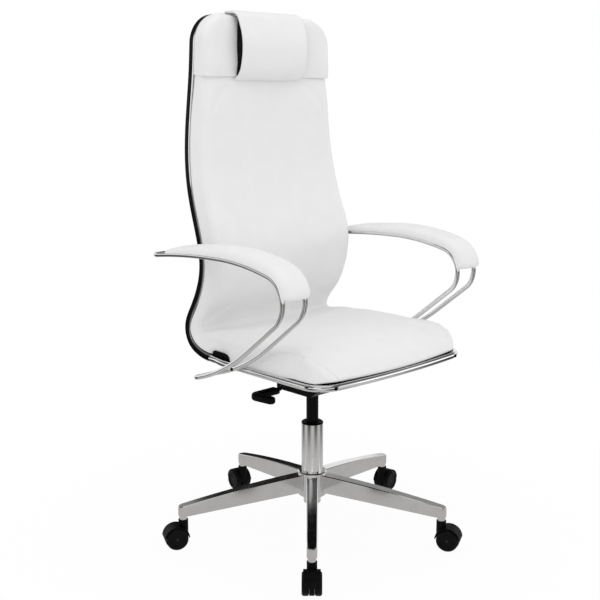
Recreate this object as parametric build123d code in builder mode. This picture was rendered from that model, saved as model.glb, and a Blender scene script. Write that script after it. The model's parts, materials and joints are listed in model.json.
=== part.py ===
from build123d import *
import os
from math import acos, asin, cos, degrees, radians, sin, sqrt, tan

os.makedirs("parts", exist_ok=True)

# Swivel office chair. The origin is on the floor under the column, +Z is up and the sitter faces -Y.
# Sizes are in millimetres and degrees.

# Clearances
FIT = 0.05            # running and push fits, per side
SOFT_GAP = 0.3        # soft pieces stand this far off what carries them
FACE_GAP = 0.2        # flat faces that turn past each other

# Castors
CASTOR_COUNT = 5
WHEEL_R = 25.0
WHEEL_W = 15.5
TREAD_FILLET = 3.0
DISH_R = 17.0
DISH_DEPTH = 1.6
AXLE_R = 3.0
CASTOR_TRAIL = 17.0
WEB_W = 11.0
WEB_FLOOR_GAP = 8.0
HOOD_CLEARANCE = 1.6
HOOD_WALL = 2.4
HOOD_FROM = 4.0
HOOD_TO = 176.0
COLLAR_R = 11.0
COLLAR_TOP = 66.0
STEM_R = 5.5
STEM_IN_HOOD = 14.0
STEM_IN_LEG = 22.0
RING_DEPTH = 1.0
RING_H = 4.0

# Five-leg base
BASE_TURN = 225.4     # bearing of the front leg
STEM_CIRCLE_R = 308.0
LEG_ROOT_W = 27.0
LEG_TIP_W = 22.0
LEG_ROOT_TOP = 143.0
LEG_ROOT_BOTTOM = 101.0
LEG_TIP_TOP = 97.0
LEG_TIP_BOTTOM = 75.0
LEG_CROWN = 4.0
LEG_ROOT_BURIED = 8.0
LEG_WALL = 3.2
LEG_RIBS = 4
RIB_T = 3.0
LEG_EDGE = 1.5
BOSS_R = 9.0
HUB_R = 34.0
HUB_TOP = 150.0
HUB_BOTTOM = 91.0
HUB_EDGE = 2.5

# Gas column
TUBE_R = 25.0
TUBE_WALL = 2.0
TUBE_TOP = 265.0
TUBE_FOOT_R = 20.0
TUBE_FOOT_BOTTOM = 72.0
TUBE_FOOT_H = 14.0
TUBE_FLOOR_T = 10.0
TAPER = 1.5
BUSH_LIP_H = 4.0
BUSH_LIP_R = 25.4
BUSH_DEPTH = 70.0
CYLINDER_R = 14.0
CYLINDER_WALL = 3.0
CYLINDER_FOOT = 154.0
SEAL_T = 8.0
CAP_T = 12.0
ROD_R = 5.0
ROD_COLLAR_R = 8.0
ROD_COLLAR_H = 4.0
ROD_TAIL = 6.0
PISTON_Z = 222.0
PISTON_H = 10.0
BEARING_R = 11.0
BEARING_H = 5.0
CLIP_R = 10.0
CLIP_H = 2.0
PIN_R = 4.0
PIN_PROUD = 4.0
PIN_LENGTH = 14.0

# Tilt mechanism
HOUSING_BOTTOM = 348.0
HOUSING_HALF_W = 60.0
HOUSING_WALL = 4.0
HOUSING_REAR = 62.0
HOUSING_FRONT = -128.0
HOUSING_NOSE_H = 20.0
HOUSING_KEEL = -52.0
HOUSING_CORNER = 10.0
TILT_MAX = 15.0
TILT_CLEARANCE = 5.0
AXLE_Y = -70.0
AXLE_DROP = 16.0
TILT_AXLE_R = 5.0
TILT_HEAD_R = 8.0
TILT_HEAD_T = 2.5
SOCKET_R = 21.0
SOCKET_H = 36.0
PLATE_T = 4.0
PLATE_HALF_W = 92.0
PLATE_FRONT = -125.0
PLATE_REAR = 100.0
PLATE_CORNER = 18.0
EAR_T = 4.0
EAR_R = 13.0
SCREW_R = 4.0
SCREW_HEAD_R = 6.5
SCREW_HEAD_H = 5.0
SCREW_GRIP = 9.0
SCREW_SPAN_X = 152.0
SCREW_SPAN_Y = 150.0
SCREW_MID_Y = -15.0
SPRING_Y = 41.0
SPRING_R = 12.0
SPRING_WIRE_R = 2.2
SPRING_TURNS = 4

# Height lever
LEVER_PIVOT_X = -36.0
LEVER_R = 4.0
LEVER_INNER_X = 8.0
LEVER_BEND_X = -76.0
LEVER_LOW_X = -100.0
LEVER_DROP = 27.0
LEVER_END_X = -160.0
LEVER_BEND_R = 14.0
LEVER_SLOT = 7.0
BLOCK_X = 18.0
BLOCK_Y = 18.0
BLOCK_Z = 14.0
TRUNNION_R = 3.0
LUG_T = 4.0
LUG_X = 16.0
LUG_OVER = 6.0
GRIP_START_X = -112.0
GRIP_CORNER_X = -180.0
GRIP_TIP_X = -174.0
GRIP_TIP_Y = -48.0
GRIP_W = 21.0
GRIP_H = 15.0
GRIP_BEND_R = 11.0
GRIP_EDGE = 5.0

# One-piece shell: rear face in the side view, as (y, z)
SHELL_T = 13.0
PAN_BOTTOM = 429.0
PAN_FRONT = -240.0
PAN_REAR = 100.0
PAN_CORNER = 40.0
SHELL_BEND = [(152.0, 436.0), (188.0, 460.0), (198.0, 494.0), (176.0, 545.0)]
LUMBAR_Y = 142.0
LUMBAR_Z = 636.0
SHELL_RISES = [(162.0, 102.0), (190.0, 224.0), (197.0, 329.0), (192.0, 434.0), (184.6, 554.0)]
DRAWN_RISE = 548.0      # rise over the lumbar point for which SHELL_RISES is drawn
SHELL_HALF_W = 212.0
SHELL_TOP_HALF_W = 191.0
SHELL_WIDE_TO = 780.0
SHELL_TOP = 1184.0
SHELL_STRAIGHT = 99.0   # upright run of the sides below the top
SHELL_TOP_CORNER = 62.0
TAB_LENGTH = 30.0
OFFSET_STEPS = 16
BACK_FROM_SHARE = 0.1   # the curve rises from here on
HALVINGS = 40

# Upholstery
TRIM_T = 3.0
TRIM_W = 9.0
PAD_INSET = 3.0
BACK_PAD_T = 27.0
BACK_PAD_TOP_T = 18.0
BACK_PAD_THIN_FROM = 820.0
BACK_PAD_CROWN = 8.0
BACK_PAD_TOP_CROWN = 5.0
BACK_PAD_DRAW = 8.0
BACK_PAD_BOTTOM = 542.0
BACK_PAD_SECTIONS = 8
SEAT_TOP = 500.0
SEAT_CROWN = 8.0
SEAT_DRAW = 13.0
SEAT_HALF_W = 223.0
SEAT_REAR_HALF_W = 209.0
SEAT_REAR = 160.0
SEAT_FRONT = -256.0
SEAT_CORNER = 52.0
SEAT_ROLL = 56.0
SEAT_ROLL_DROP = 42.0
SEAT_ROLL_STEPS = 5
SEAT_TUCK_FROM = 0.0
SEAT_TUCK_TO = 70.0
HEAD_HEIGHT = 132.0
HEAD_PAD_T = 24.0
HEAD_CROWN = 4.0
HEAD_CORNER_SHARES = (0.0, 0.45, 0.75, 0.93)
BAND_HALF_W = 97.0
BAND_T = 7.0
BAND_BOW = 22.0
BAND_CLEAR = 1.5
CORE_RECESS = 3.0

# Chrome seat tube
SEAT_TUBE_R = 7.0
SEAT_TUBE_Z = 439.0
SEAT_TUBE_HALF_W = 228.0
SEAT_TUBE_FRONT = -265.0
SEAT_TUBE_BOW_R = 1750.0
SEAT_TUBE_CORNER = 52.0
SEAT_TUBE_TUCK_Y = 30.0
SEAT_TUBE_END_Y = 98.0
TUBE_BOLT_R = 2.0
TUBE_BOLT_HEAD_R = 4.0
TUBE_BOLT_HEAD_T = 2.0
TUBE_BOLT_HEAD_TAPER = 30.0
TUBE_BOLT_GRIP = 6.0
TUBE_BOLT_BEARING = 75.0
INSERT_LENGTH = 60.0
INSERT_H = 14.0
INSERT_T = 6.0

# Arm loops: centre line of a rod in the side view, as (y, z)
ARM_ROD_R = 5.0
ARM_SPAN = 60.0
ARM_NOSE = (-169.0, 615.0)
ARM_NOSE_R = 54.0
ARM_UPPER_SLOPE = 14.0
ARM_FALL = 38.4
ARM_UPPER_R = 600.0
ARM_REAR_R = 1600.0
ARM_REAR_RUN = 208.0
ARM_STRAIGHT = 108.0
ARM_FOOT_R = 470.0
ARM_FOOT_SLOPE = 17.0
REST_REAR_RUN = 188.0
REST_MID_RUN = 95.0
REST_REAR_T = 11.0
REST_MID_T = 25.0
REST_FRONT_T = 37.0
REST_END_BEARING = 164.0
REST_HALF_W = 35.0
REST_CROWN = 5.0
REST_DRAW = 5.0

# Values that follow from the sizes above
PLATE_BOTTOM = PAN_BOTTOM - PLATE_T
AXLE_Z = PLATE_BOTTOM - AXLE_DROP
BOSS_BOTTOM = COLLAR_TOP + FACE_GAP
CYLINDER_TOP = HOUSING_BOTTOM + SOCKET_H
LEVER_Z = CYLINDER_TOP + PIN_PROUD + LEVER_R + SOFT_GAP
LEVER_LOW_Z = LEVER_Z - LEVER_DROP
HOUSING_FLOOR = HOUSING_BOTTOM + HOUSING_WALL
ARM_INNER_X = SEAT_TUBE_HALF_W + SEAT_TUBE_R + ARM_ROD_R + FIT
ARM_MID_X = ARM_INNER_X + ARM_SPAN / 2
PAD_NEAR = SHELL_T + TRIM_T + SOFT_GAP
HEAD_BOTTOM = SHELL_TOP - HEAD_HEIGHT
SHELL_NARROW_FROM = SHELL_TOP - SHELL_STRAIGHT
PAN_TOP = PAN_BOTTOM + SHELL_T
OUTLINE_REACH = SHELL_HALF_W - SEAT_TUBE_FRONT


def keep(builder, name):
    """Name a finished piece and write it to its own file."""
    builder.part.label = name
    export_step(builder.part, f"parts/{name}.step")


def turned(*outline):
    """Turn an outline of (radius, height) points about the Z axis."""
    with BuildPart() as solid:
        with BuildSketch(Plane.XZ):
            with BuildLine():
                Polyline(*outline, close=True)
            make_face()
        revolve(axis=Axis.Z)
    return solid


def ring(inner, outer, low, high):
    """A plain ring about the Z axis."""
    return turned((inner, low), (outer, low), (outer, high), (inner, high))


def swept(path, radius):
    """A round bar of the given radius along a path."""
    with BuildPart() as bar:
        with BuildSketch(Plane(origin=path @ 0, z_dir=path % 0)):
            Circle(radius)
        sweep(path=path)
    return bar


def mirrored(builder):
    """The same piece for the other side of the chair."""
    with BuildPart() as twin:
        mirror(builder.part, about=Plane.YZ)
    return twin


def on_circle(centre, radius, bearing):
    """Point at a bearing, in degrees, on a circle in a flat view."""
    return (centre[0] + radius * cos(radians(bearing)), centre[1] + radius * sin(radians(bearing)))


def pad_section(plane, half_width, near, far, crown, draw):
    """Cross-section of a pad: flat behind, sides drawn in at both edges, front crowned."""
    middle = (near + far) / 2
    edge = half_width - draw
    with BuildSketch(plane) as section:
        with BuildLine():
            Line((-edge, near), (edge, near))
            ThreePointArc((edge, near), (half_width, middle), (edge, far))
            ThreePointArc((edge, far), (0, far + crown), (-edge, far))
            ThreePointArc((-edge, far), (-half_width, middle), (-edge, near))
        make_face()
    return section.sketch


def lofted(sections):
    """A closed solid through a row of sections."""
    with BuildPart() as solid:
        loft(sections=sections)
    return solid


# Places of the castors, each with its local X outward along the leg
leg_bearings = [BASE_TURN + index * 360 / CASTOR_COUNT for index in range(CASTOR_COUNT)]
leg_turns = [Location((0, 0, 0), (0, 0, bearing)) for bearing in leg_bearings]
castor_places = [turn * Location((STEM_CIRCLE_R, 0, 0)) for turn in leg_turns]

# Castor hood: arched cover, middle web, stem collar
wheel_inner_y = WEB_W / 2 + FACE_GAP
wheel_outer_y = wheel_inner_y + WHEEL_W
hood_inner_r = WHEEL_R + HOOD_CLEARANCE
hood_outer_r = hood_inner_r + HOOD_WALL
hood_half_w = wheel_outer_y - TREAD_FILLET
castor_side = Plane((CASTOR_TRAIL, 0, WHEEL_R), x_dir=(1, 0, 0), z_dir=(0, -1, 0))

with BuildPart() as hood_form:
    with BuildSketch(Plane.XY.offset(COLLAR_TOP)):
        Circle(COLLAR_R)
    extrude(amount=WHEEL_R - COLLAR_TOP)
    with BuildSketch(castor_side):
        with BuildLine():
            CenterArc((0, 0), hood_outer_r, HOOD_FROM, HOOD_TO - HOOD_FROM)
            Line(on_circle((0, 0), hood_outer_r, HOOD_TO), (0, 0))
            Line((0, 0), on_circle((0, 0), hood_outer_r, HOOD_FROM))
        make_face()
    extrude(amount=hood_half_w, both=True)
    with BuildSketch(castor_side.offset(WEB_W / 2), castor_side.offset(-hood_outer_r)):
        Circle(hood_inner_r)
    extrude(amount=hood_outer_r - WEB_W / 2, mode=Mode.SUBTRACT)
    with BuildSketch(castor_side):
        Circle(hood_inner_r)
        with Locations((0, WEB_FLOOR_GAP - WHEEL_R)):
            Rectangle(2 * hood_inner_r, hood_inner_r, align=(Align.CENTER, Align.MAX), mode=Mode.SUBTRACT)
    extrude(amount=WEB_W / 2, both=True)
    with BuildSketch(castor_side):
        Circle(AXLE_R + FIT)
    extrude(amount=WEB_W, both=True, mode=Mode.SUBTRACT)
    with BuildSketch(Plane.XY.offset(COLLAR_TOP)):
        Circle(STEM_R + FIT)
    extrude(amount=-STEM_IN_HOOD, mode=Mode.SUBTRACT)

with BuildPart() as axle_form:
    with BuildSketch(castor_side):
        Circle(AXLE_R)
    extrude(amount=wheel_outer_y - DISH_DEPTH, both=True)

# Castor wheel: turned about its axle, then laid over sideways
wheel_turned = turned(
    (AXLE_R + FIT, wheel_inner_y),
    (WHEEL_R - TREAD_FILLET, wheel_inner_y),
    (WHEEL_R, wheel_inner_y + TREAD_FILLET),
    (WHEEL_R, wheel_outer_y - TREAD_FILLET),
    (WHEEL_R - TREAD_FILLET, wheel_outer_y),
    (DISH_R, wheel_outer_y),
    (DISH_R - DISH_DEPTH, wheel_outer_y - DISH_DEPTH),
    (AXLE_R + FIT, wheel_outer_y - DISH_DEPTH),
)
wheel_seats = {
    "left": Location((CASTOR_TRAIL, 0, WHEEL_R), (-90, 0, 0)),
    "right": Location((CASTOR_TRAIL, 0, WHEEL_R), (90, 0, 0)),
}

for index, place in enumerate(castor_places, start=1):
    with BuildPart() as castor_hood:
        with Locations(place):
            add(hood_form.part)
    keep(castor_hood, f"castor_hood_{index}")
    with BuildPart() as castor_axle:
        with Locations(place):
            add(axle_form.part)
    keep(castor_axle, f"castor_axle_{index}")
    for side, seat in wheel_seats.items():
        with BuildPart() as castor_wheel:
            with Locations(place * seat):
                add(wheel_turned.part)
        keep(castor_wheel, f"castor_wheel_{index}_{side}")

# Castor stems and the grip rings that hold them in the legs
stem_bottom = COLLAR_TOP - STEM_IN_HOOD
stem_top = BOSS_BOTTOM + STEM_IN_LEG
ring_top = stem_top - RING_H
ring_bottom = ring_top - RING_H
stem_form = turned(
    (0, stem_bottom),
    (STEM_R, stem_bottom),
    (STEM_R, ring_bottom),
    (STEM_R - RING_DEPTH, ring_bottom),
    (STEM_R - RING_DEPTH, ring_top),
    (STEM_R, ring_top),
    (STEM_R, stem_top - RING_DEPTH),
    (STEM_R - RING_DEPTH, stem_top),
    (0, stem_top),
)
ring_form = ring(STEM_R - RING_DEPTH + FIT, STEM_R + FIT / 2, ring_bottom + FIT, ring_top - FIT)
with BuildPart() as castor_stems:
    with Locations(*castor_places):
        add(stem_form.part)
keep(castor_stems, "castor_stems")
with BuildPart() as stem_grip_rings:
    with Locations(*castor_places):
        add(ring_form.part)
keep(stem_grip_rings, "stem_grip_rings")

# Five-leg base: one leg with its ribbed underside, repeated round the hub
leg_root_x = HUB_R - LEG_ROOT_BURIED
leg_end_x = STEM_CIRCLE_R + LEG_TIP_W / 2
leg_mid_x = (leg_root_x + leg_end_x) / 2
leg_mid_top = (LEG_ROOT_TOP + LEG_TIP_TOP) / 2 + LEG_CROWN
channel_start_x = HUB_R + LEG_WALL
channel_end_x = STEM_CIRCLE_R - LEG_TIP_W / 2 - LEG_WALL
channel_half_w = LEG_TIP_W / 2 - LEG_WALL
rib_step = (channel_end_x - channel_start_x) / (LEG_RIBS + 1)

with BuildPart() as leg_form:
    with BuildSketch(Plane.XZ):
        with BuildLine():
            Polyline(
                (leg_root_x, LEG_ROOT_TOP),
                (leg_root_x, LEG_ROOT_BOTTOM),
                (STEM_CIRCLE_R - LEG_TIP_W / 2, LEG_TIP_BOTTOM),
                (leg_end_x, LEG_TIP_BOTTOM),
                (leg_end_x, LEG_TIP_TOP),
            )
            ThreePointArc((leg_end_x, LEG_TIP_TOP), (leg_mid_x, leg_mid_top), (leg_root_x, LEG_ROOT_TOP))
        make_face()
    extrude(amount=LEG_ROOT_W / 2, both=True)
    with BuildSketch(Plane.XY):
        with BuildLine():
            Polyline(
                (STEM_CIRCLE_R, LEG_TIP_W / 2),
                (leg_root_x, LEG_ROOT_W / 2),
                (leg_root_x, -LEG_ROOT_W / 2),
                (STEM_CIRCLE_R, -LEG_TIP_W / 2),
            )
            CenterArc((STEM_CIRCLE_R, 0), LEG_TIP_W / 2, -90, 180)
        make_face()
    extrude(amount=HUB_TOP, mode=Mode.INTERSECT)
    chamfer(leg_form.faces().sort_by(Axis.Z)[-1].edges().sort_by(Axis.X)[1:], LEG_EDGE)
    with BuildSketch(Plane.XZ):
        with BuildLine():
            Polyline(
                (channel_end_x, LEG_TIP_TOP - LEG_WALL),
                (channel_end_x, 0),
                (channel_start_x, 0),
                (channel_start_x, LEG_ROOT_TOP - 2 * LEG_WALL),
            )
            ThreePointArc(
                (channel_start_x, LEG_ROOT_TOP - 2 * LEG_WALL),
                (leg_mid_x, leg_mid_top - LEG_WALL),
                (channel_end_x, LEG_TIP_TOP - LEG_WALL),
            )
        make_face()
        with Locations(*[(channel_start_x + rib_step * (rib + 1), 0) for rib in range(LEG_RIBS)]):
            Rectangle(RIB_T, 2 * HUB_TOP, mode=Mode.SUBTRACT)
    extrude(amount=channel_half_w, both=True, mode=Mode.SUBTRACT)
    with BuildSketch(Plane.XY.offset(BOSS_BOTTOM)):
        with Locations((STEM_CIRCLE_R, 0)):
            Circle(BOSS_R)
    extrude(amount=LEG_TIP_BOTTOM - BOSS_BOTTOM)
    with BuildSketch(Plane.XY.offset(BOSS_BOTTOM)):
        with Locations((STEM_CIRCLE_R, 0)):
            Circle(STEM_R + FIT)
    extrude(amount=STEM_IN_LEG, mode=Mode.SUBTRACT)


def tube_seat_r(height):
    """Radius of the tube's tapered seat at a height inside the hub."""
    return TUBE_R - max(HUB_TOP - height, 0) * tan(radians(TAPER))


hub_form = turned(
    (0, HUB_BOTTOM),
    (HUB_R - HUB_EDGE, HUB_BOTTOM),
    (HUB_R, HUB_BOTTOM + HUB_EDGE),
    (HUB_R, HUB_TOP - HUB_EDGE),
    (HUB_R - HUB_EDGE, HUB_TOP),
    (0, HUB_TOP),
)
hub_bore = turned(
    (0, HUB_BOTTOM),
    (tube_seat_r(HUB_BOTTOM) + FIT, HUB_BOTTOM),
    (tube_seat_r(HUB_TOP) + FIT, HUB_TOP),
    (0, HUB_TOP),
)
with BuildPart() as base_star:
    add(hub_form.part)
    with Locations(*leg_turns):
        add(leg_form.part)
    add(hub_bore.part, mode=Mode.SUBTRACT)
keep(base_star, "base_star")

# Stand tube with its tapered seat and closed foot
tube_floor = TUBE_FOOT_BOTTOM + TUBE_FLOOR_T
tube_shoulder = TUBE_FOOT_BOTTOM + TUBE_FOOT_H
stand_tube = turned(
    (ROD_R + FIT, TUBE_FOOT_BOTTOM),
    (TUBE_FOOT_R, TUBE_FOOT_BOTTOM),
    (TUBE_FOOT_R, tube_shoulder),
    (tube_seat_r(tube_shoulder), tube_shoulder),
    (TUBE_R, HUB_TOP),
    (TUBE_R, TUBE_TOP),
    (TUBE_R - TUBE_WALL, TUBE_TOP),
    (TUBE_R - TUBE_WALL, HUB_TOP),
    (tube_seat_r(tube_shoulder) - TUBE_WALL, tube_shoulder + TUBE_WALL),
    (TUBE_FOOT_R - TUBE_WALL, tube_shoulder),
    (TUBE_FOOT_R - TUBE_WALL, tube_floor),
    (ROD_R + FIT, tube_floor),
)
keep(stand_tube, "stand_tube")

guide_bush = turned(
    (CYLINDER_R + FIT, TUBE_TOP - BUSH_DEPTH),
    (TUBE_R - TUBE_WALL - FIT, TUBE_TOP - BUSH_DEPTH),
    (TUBE_R - TUBE_WALL - FIT, TUBE_TOP),
    (BUSH_LIP_R, TUBE_TOP),
    (BUSH_LIP_R, TUBE_TOP + BUSH_LIP_H / 2),
    (BUSH_LIP_R - BUSH_LIP_H / 2, TUBE_TOP + BUSH_LIP_H),
    (CYLINDER_R + FIT, TUBE_TOP + BUSH_LIP_H),
)
keep(guide_bush, "guide_bush")

thrust_bearing = ring(ROD_R + FIT, BEARING_R, tube_floor, tube_floor + BEARING_H)
keep(thrust_bearing, "thrust_bearing")

# Piston rod hanging on the bearing, held below by a clip
collar_bottom = tube_floor + BEARING_H + FACE_GAP
clip_top = TUBE_FOOT_BOTTOM - FACE_GAP
piston_rod = turned(
    (0, TUBE_FOOT_BOTTOM - ROD_TAIL),
    (ROD_R, TUBE_FOOT_BOTTOM - ROD_TAIL),
    (ROD_R, collar_bottom),
    (ROD_COLLAR_R, collar_bottom),
    (ROD_COLLAR_R, collar_bottom + ROD_COLLAR_H),
    (ROD_R, collar_bottom + ROD_COLLAR_H),
    (ROD_R, PISTON_Z),
    (CYLINDER_R - CYLINDER_WALL - FIT, PISTON_Z),
    (CYLINDER_R - CYLINDER_WALL - FIT, PISTON_Z + PISTON_H),
    (0, PISTON_Z + PISTON_H),
)
keep(piston_rod, "piston_rod")
rod_clip = ring(ROD_R + FIT, CLIP_R, clip_top - CLIP_H, clip_top)
keep(rod_clip, "rod_clip")


def socket_r(height):
    """Radius of the cylinder's tapered head at a height inside the housing's socket."""
    return CYLINDER_R - max(height - HOUSING_BOTTOM, 0) * tan(radians(TAPER))


gas_cylinder = turned(
    (ROD_R + FIT, CYLINDER_FOOT),
    (CYLINDER_R, CYLINDER_FOOT),
    (CYLINDER_R, HOUSING_BOTTOM),
    (socket_r(CYLINDER_TOP), CYLINDER_TOP),
    (PIN_R + FIT, CYLINDER_TOP),
    (PIN_R + FIT, CYLINDER_TOP - CAP_T),
    (CYLINDER_R - CYLINDER_WALL, CYLINDER_TOP - CAP_T),
    (CYLINDER_R - CYLINDER_WALL, CYLINDER_FOOT + SEAL_T),
    (ROD_R + FIT, CYLINDER_FOOT + SEAL_T),
)
keep(gas_cylinder, "gas_cylinder")

with BuildPart() as release_pin:
    with BuildSketch(Plane.XY.offset(CYLINDER_TOP + PIN_PROUD)):
        Circle(PIN_R)
    extrude(amount=-PIN_LENGTH)
keep(release_pin, "release_pin")


# Tilt housing: an open tray whose rim leaves room for the reclined plate
def rim_height(y):
    """Height of the housing's rim at a depth y."""
    return PLATE_BOTTOM - TILT_CLEARANCE - max(y - AXLE_Y, 0) * tan(radians(TILT_MAX))


block_half_y = BLOCK_Y / 2
lug_mid_y = block_half_y + FACE_GAP + LUG_T / 2
nose_bottom = rim_height(HOUSING_FRONT) - HOUSING_NOSE_H
with BuildPart() as mechanism_housing:
    with BuildSketch(Plane.YZ):
        with BuildLine():
            Polyline(
                (HOUSING_REAR, HOUSING_BOTTOM),
                (HOUSING_REAR, rim_height(HOUSING_REAR)),
                (AXLE_Y, rim_height(AXLE_Y)),
                (HOUSING_FRONT, rim_height(HOUSING_FRONT)),
                (HOUSING_FRONT, nose_bottom),
                (HOUSING_KEEL, HOUSING_BOTTOM),
                close=True,
            )
        make_face()
    extrude(amount=HOUSING_HALF_W, both=True)
    fillet(mechanism_housing.edges().filter_by(Axis.Z), HOUSING_CORNER)
    with BuildSketch(Plane.YZ):
        with BuildLine():
            Polyline(
                (HOUSING_REAR - HOUSING_WALL, HOUSING_FLOOR),
                (HOUSING_REAR - HOUSING_WALL, PAN_BOTTOM),
                (HOUSING_FRONT + HOUSING_WALL, PAN_BOTTOM),
                (HOUSING_FRONT + HOUSING_WALL, nose_bottom + HOUSING_WALL),
                (HOUSING_KEEL, HOUSING_FLOOR),
                close=True,
            )
        make_face()
    extrude(amount=HOUSING_HALF_W - HOUSING_WALL, both=True, mode=Mode.SUBTRACT)
    with BuildSketch(Plane.XY.offset(HOUSING_BOTTOM)):
        Circle(SOCKET_R)
        with Locations((LEVER_PIVOT_X, lug_mid_y), (LEVER_PIVOT_X, -lug_mid_y)):
            Rectangle(LUG_X, LUG_T)
    extrude(amount=SOCKET_H)
    with BuildSketch(Plane.XY.offset(HOUSING_BOTTOM)):
        with Locations((LEVER_PIVOT_X, lug_mid_y), (LEVER_PIVOT_X, -lug_mid_y)):
            Rectangle(LUG_X, LUG_T)
    extrude(amount=LEVER_Z + LUG_OVER - HOUSING_BOTTOM)
    with BuildSketch(Plane.XZ):
        with Locations((LEVER_PIVOT_X, LEVER_Z)):
            Circle(TRUNNION_R + FIT)
    extrude(amount=BLOCK_Y, both=True, mode=Mode.SUBTRACT)
    with BuildSketch(Plane.YZ):
        with Locations((AXLE_Y, AXLE_Z)):
            Circle(TILT_AXLE_R + FIT)
    extrude(amount=HOUSING_HALF_W, both=True, mode=Mode.SUBTRACT)
    with BuildSketch(Plane.YZ.offset(-HOUSING_HALF_W)):
        with Locations((0, LEVER_Z - LEVER_SLOT)):
            Rectangle(2 * LEVER_SLOT, PAN_BOTTOM - LEVER_Z, align=(Align.CENTER, Align.MIN))
    extrude(amount=HOUSING_WALL, mode=Mode.SUBTRACT)
    with BuildSketch(Plane.XY.offset(HOUSING_BOTTOM)):
        Circle(socket_r(HOUSING_BOTTOM) + FIT)
    extrude(amount=SOCKET_H, taper=TAPER, mode=Mode.SUBTRACT)
keep(mechanism_housing, "mechanism_housing")

# Seat plate with the two ears that hang on the tilt axle
ear_inner_x = HOUSING_HALF_W + FACE_GAP
ear_outer_x = ear_inner_x + EAR_T
with BuildPart() as seat_plate:
    with BuildSketch(Plane.XY.offset(PLATE_BOTTOM)):
        with Locations((0, (PLATE_FRONT + PLATE_REAR) / 2)):
            RectangleRounded(2 * PLATE_HALF_W, PLATE_REAR - PLATE_FRONT, PLATE_CORNER)
    extrude(amount=PLATE_T)
    with BuildSketch(Plane.YZ.offset(ear_inner_x), Plane.YZ.offset(-ear_outer_x)):
        with Locations((AXLE_Y, AXLE_Z)):
            Circle(EAR_R)
            Rectangle(2 * EAR_R, AXLE_DROP, align=(Align.CENTER, Align.MIN))
    extrude(amount=EAR_T)
    with BuildSketch(Plane.YZ):
        with Locations((AXLE_Y, AXLE_Z)):
            Circle(TILT_AXLE_R + FIT)
    extrude(amount=PLATE_HALF_W, both=True, mode=Mode.SUBTRACT)
    with BuildSketch(Plane.XY.offset(PLATE_BOTTOM)):
        with Locations((0, SCREW_MID_Y)):
            with GridLocations(SCREW_SPAN_X, SCREW_SPAN_Y, 2, 2):
                Circle(SCREW_R + FIT)
    extrude(amount=PLATE_T, mode=Mode.SUBTRACT)
keep(seat_plate, "seat_plate")

with BuildPart() as tilt_axle:
    with BuildSketch(Plane.YZ):
        with Locations((AXLE_Y, AXLE_Z)):
            Circle(TILT_AXLE_R)
    extrude(amount=ear_outer_x + FACE_GAP, both=True)
    head_inner_x = ear_outer_x + FACE_GAP
    with BuildSketch(Plane.YZ.offset(head_inner_x), Plane.YZ.offset(-head_inner_x - TILT_HEAD_T)):
        with Locations((AXLE_Y, AXLE_Z)):
            Circle(TILT_HEAD_R)
    extrude(amount=TILT_HEAD_T)
keep(tilt_axle, "tilt_axle")

screw_form = turned(
    (0, PLATE_BOTTOM - SCREW_HEAD_H),
    (SCREW_HEAD_R, PLATE_BOTTOM - SCREW_HEAD_H),
    (SCREW_HEAD_R, PLATE_BOTTOM),
    (SCREW_R, PLATE_BOTTOM),
    (SCREW_R, PAN_BOTTOM + SCREW_GRIP),
    (0, PAN_BOTTOM + SCREW_GRIP),
)
with BuildPart() as seat_screws:
    with Locations((0, SCREW_MID_Y)):
        with GridLocations(SCREW_SPAN_X, SCREW_SPAN_Y, 2, 2):
            add(screw_form.part)
keep(seat_screws, "seat_screws")

# Tilt spring: half-turn arcs up a helix between the housing's floor and the seat plate
spring_low = HOUSING_FLOOR + SPRING_WIRE_R
spring_rise = PLATE_BOTTOM - HOUSING_FLOOR - 2 * SPRING_WIRE_R


def spring_point(turns):
    """Point of the spring's helix after a number of turns from the bottom."""
    bearing = radians(360 * turns)
    height = spring_low + spring_rise * turns / SPRING_TURNS
    return (SPRING_R * cos(bearing), SPRING_Y + SPRING_R * sin(bearing), height)


with BuildLine() as spring_path:
    for half in range(2 * SPRING_TURNS):
        ThreePointArc(spring_point(half / 2), spring_point(half / 2 + 0.25), spring_point(half / 2 + 0.5))
tilt_spring = swept(spring_path.line, SPRING_WIRE_R)
keep(tilt_spring, "tilt_spring")
print("tilt spring, least gap between turns:", spring_rise / SPRING_TURNS - 2 * SPRING_WIRE_R)

# Height lever: pivot block, bent bar and moulded grip
with BuildPart() as lever_block:
    with BuildSketch(Plane.XY.offset(LEVER_Z - BLOCK_Z / 2)):
        with Locations((LEVER_PIVOT_X, 0)):
            RectangleRounded(BLOCK_X, BLOCK_Y, TRUNNION_R)
    extrude(amount=BLOCK_Z)
    with BuildSketch(Plane.XZ):
        with Locations((LEVER_PIVOT_X, LEVER_Z)):
            Circle(TRUNNION_R)
    extrude(amount=lug_mid_y + LUG_T / 2, both=True)
    with BuildSketch(Plane.YZ.offset(LEVER_PIVOT_X)):
        with Locations((0, LEVER_Z)):
            Circle(LEVER_R + FIT)
    extrude(amount=BLOCK_X, both=True, mode=Mode.SUBTRACT)
keep(lever_block, "lever_block")

with BuildLine() as lever_path:
    FilletPolyline(
        (LEVER_INNER_X, 0, LEVER_Z),
        (LEVER_BEND_X, 0, LEVER_Z),
        (LEVER_LOW_X, 0, LEVER_LOW_Z),
        (LEVER_END_X, 0, LEVER_LOW_Z),
        radius=LEVER_BEND_R,
    )
lever_bar = swept(lever_path.line, LEVER_R)
keep(lever_bar, "lever_bar")

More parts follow.
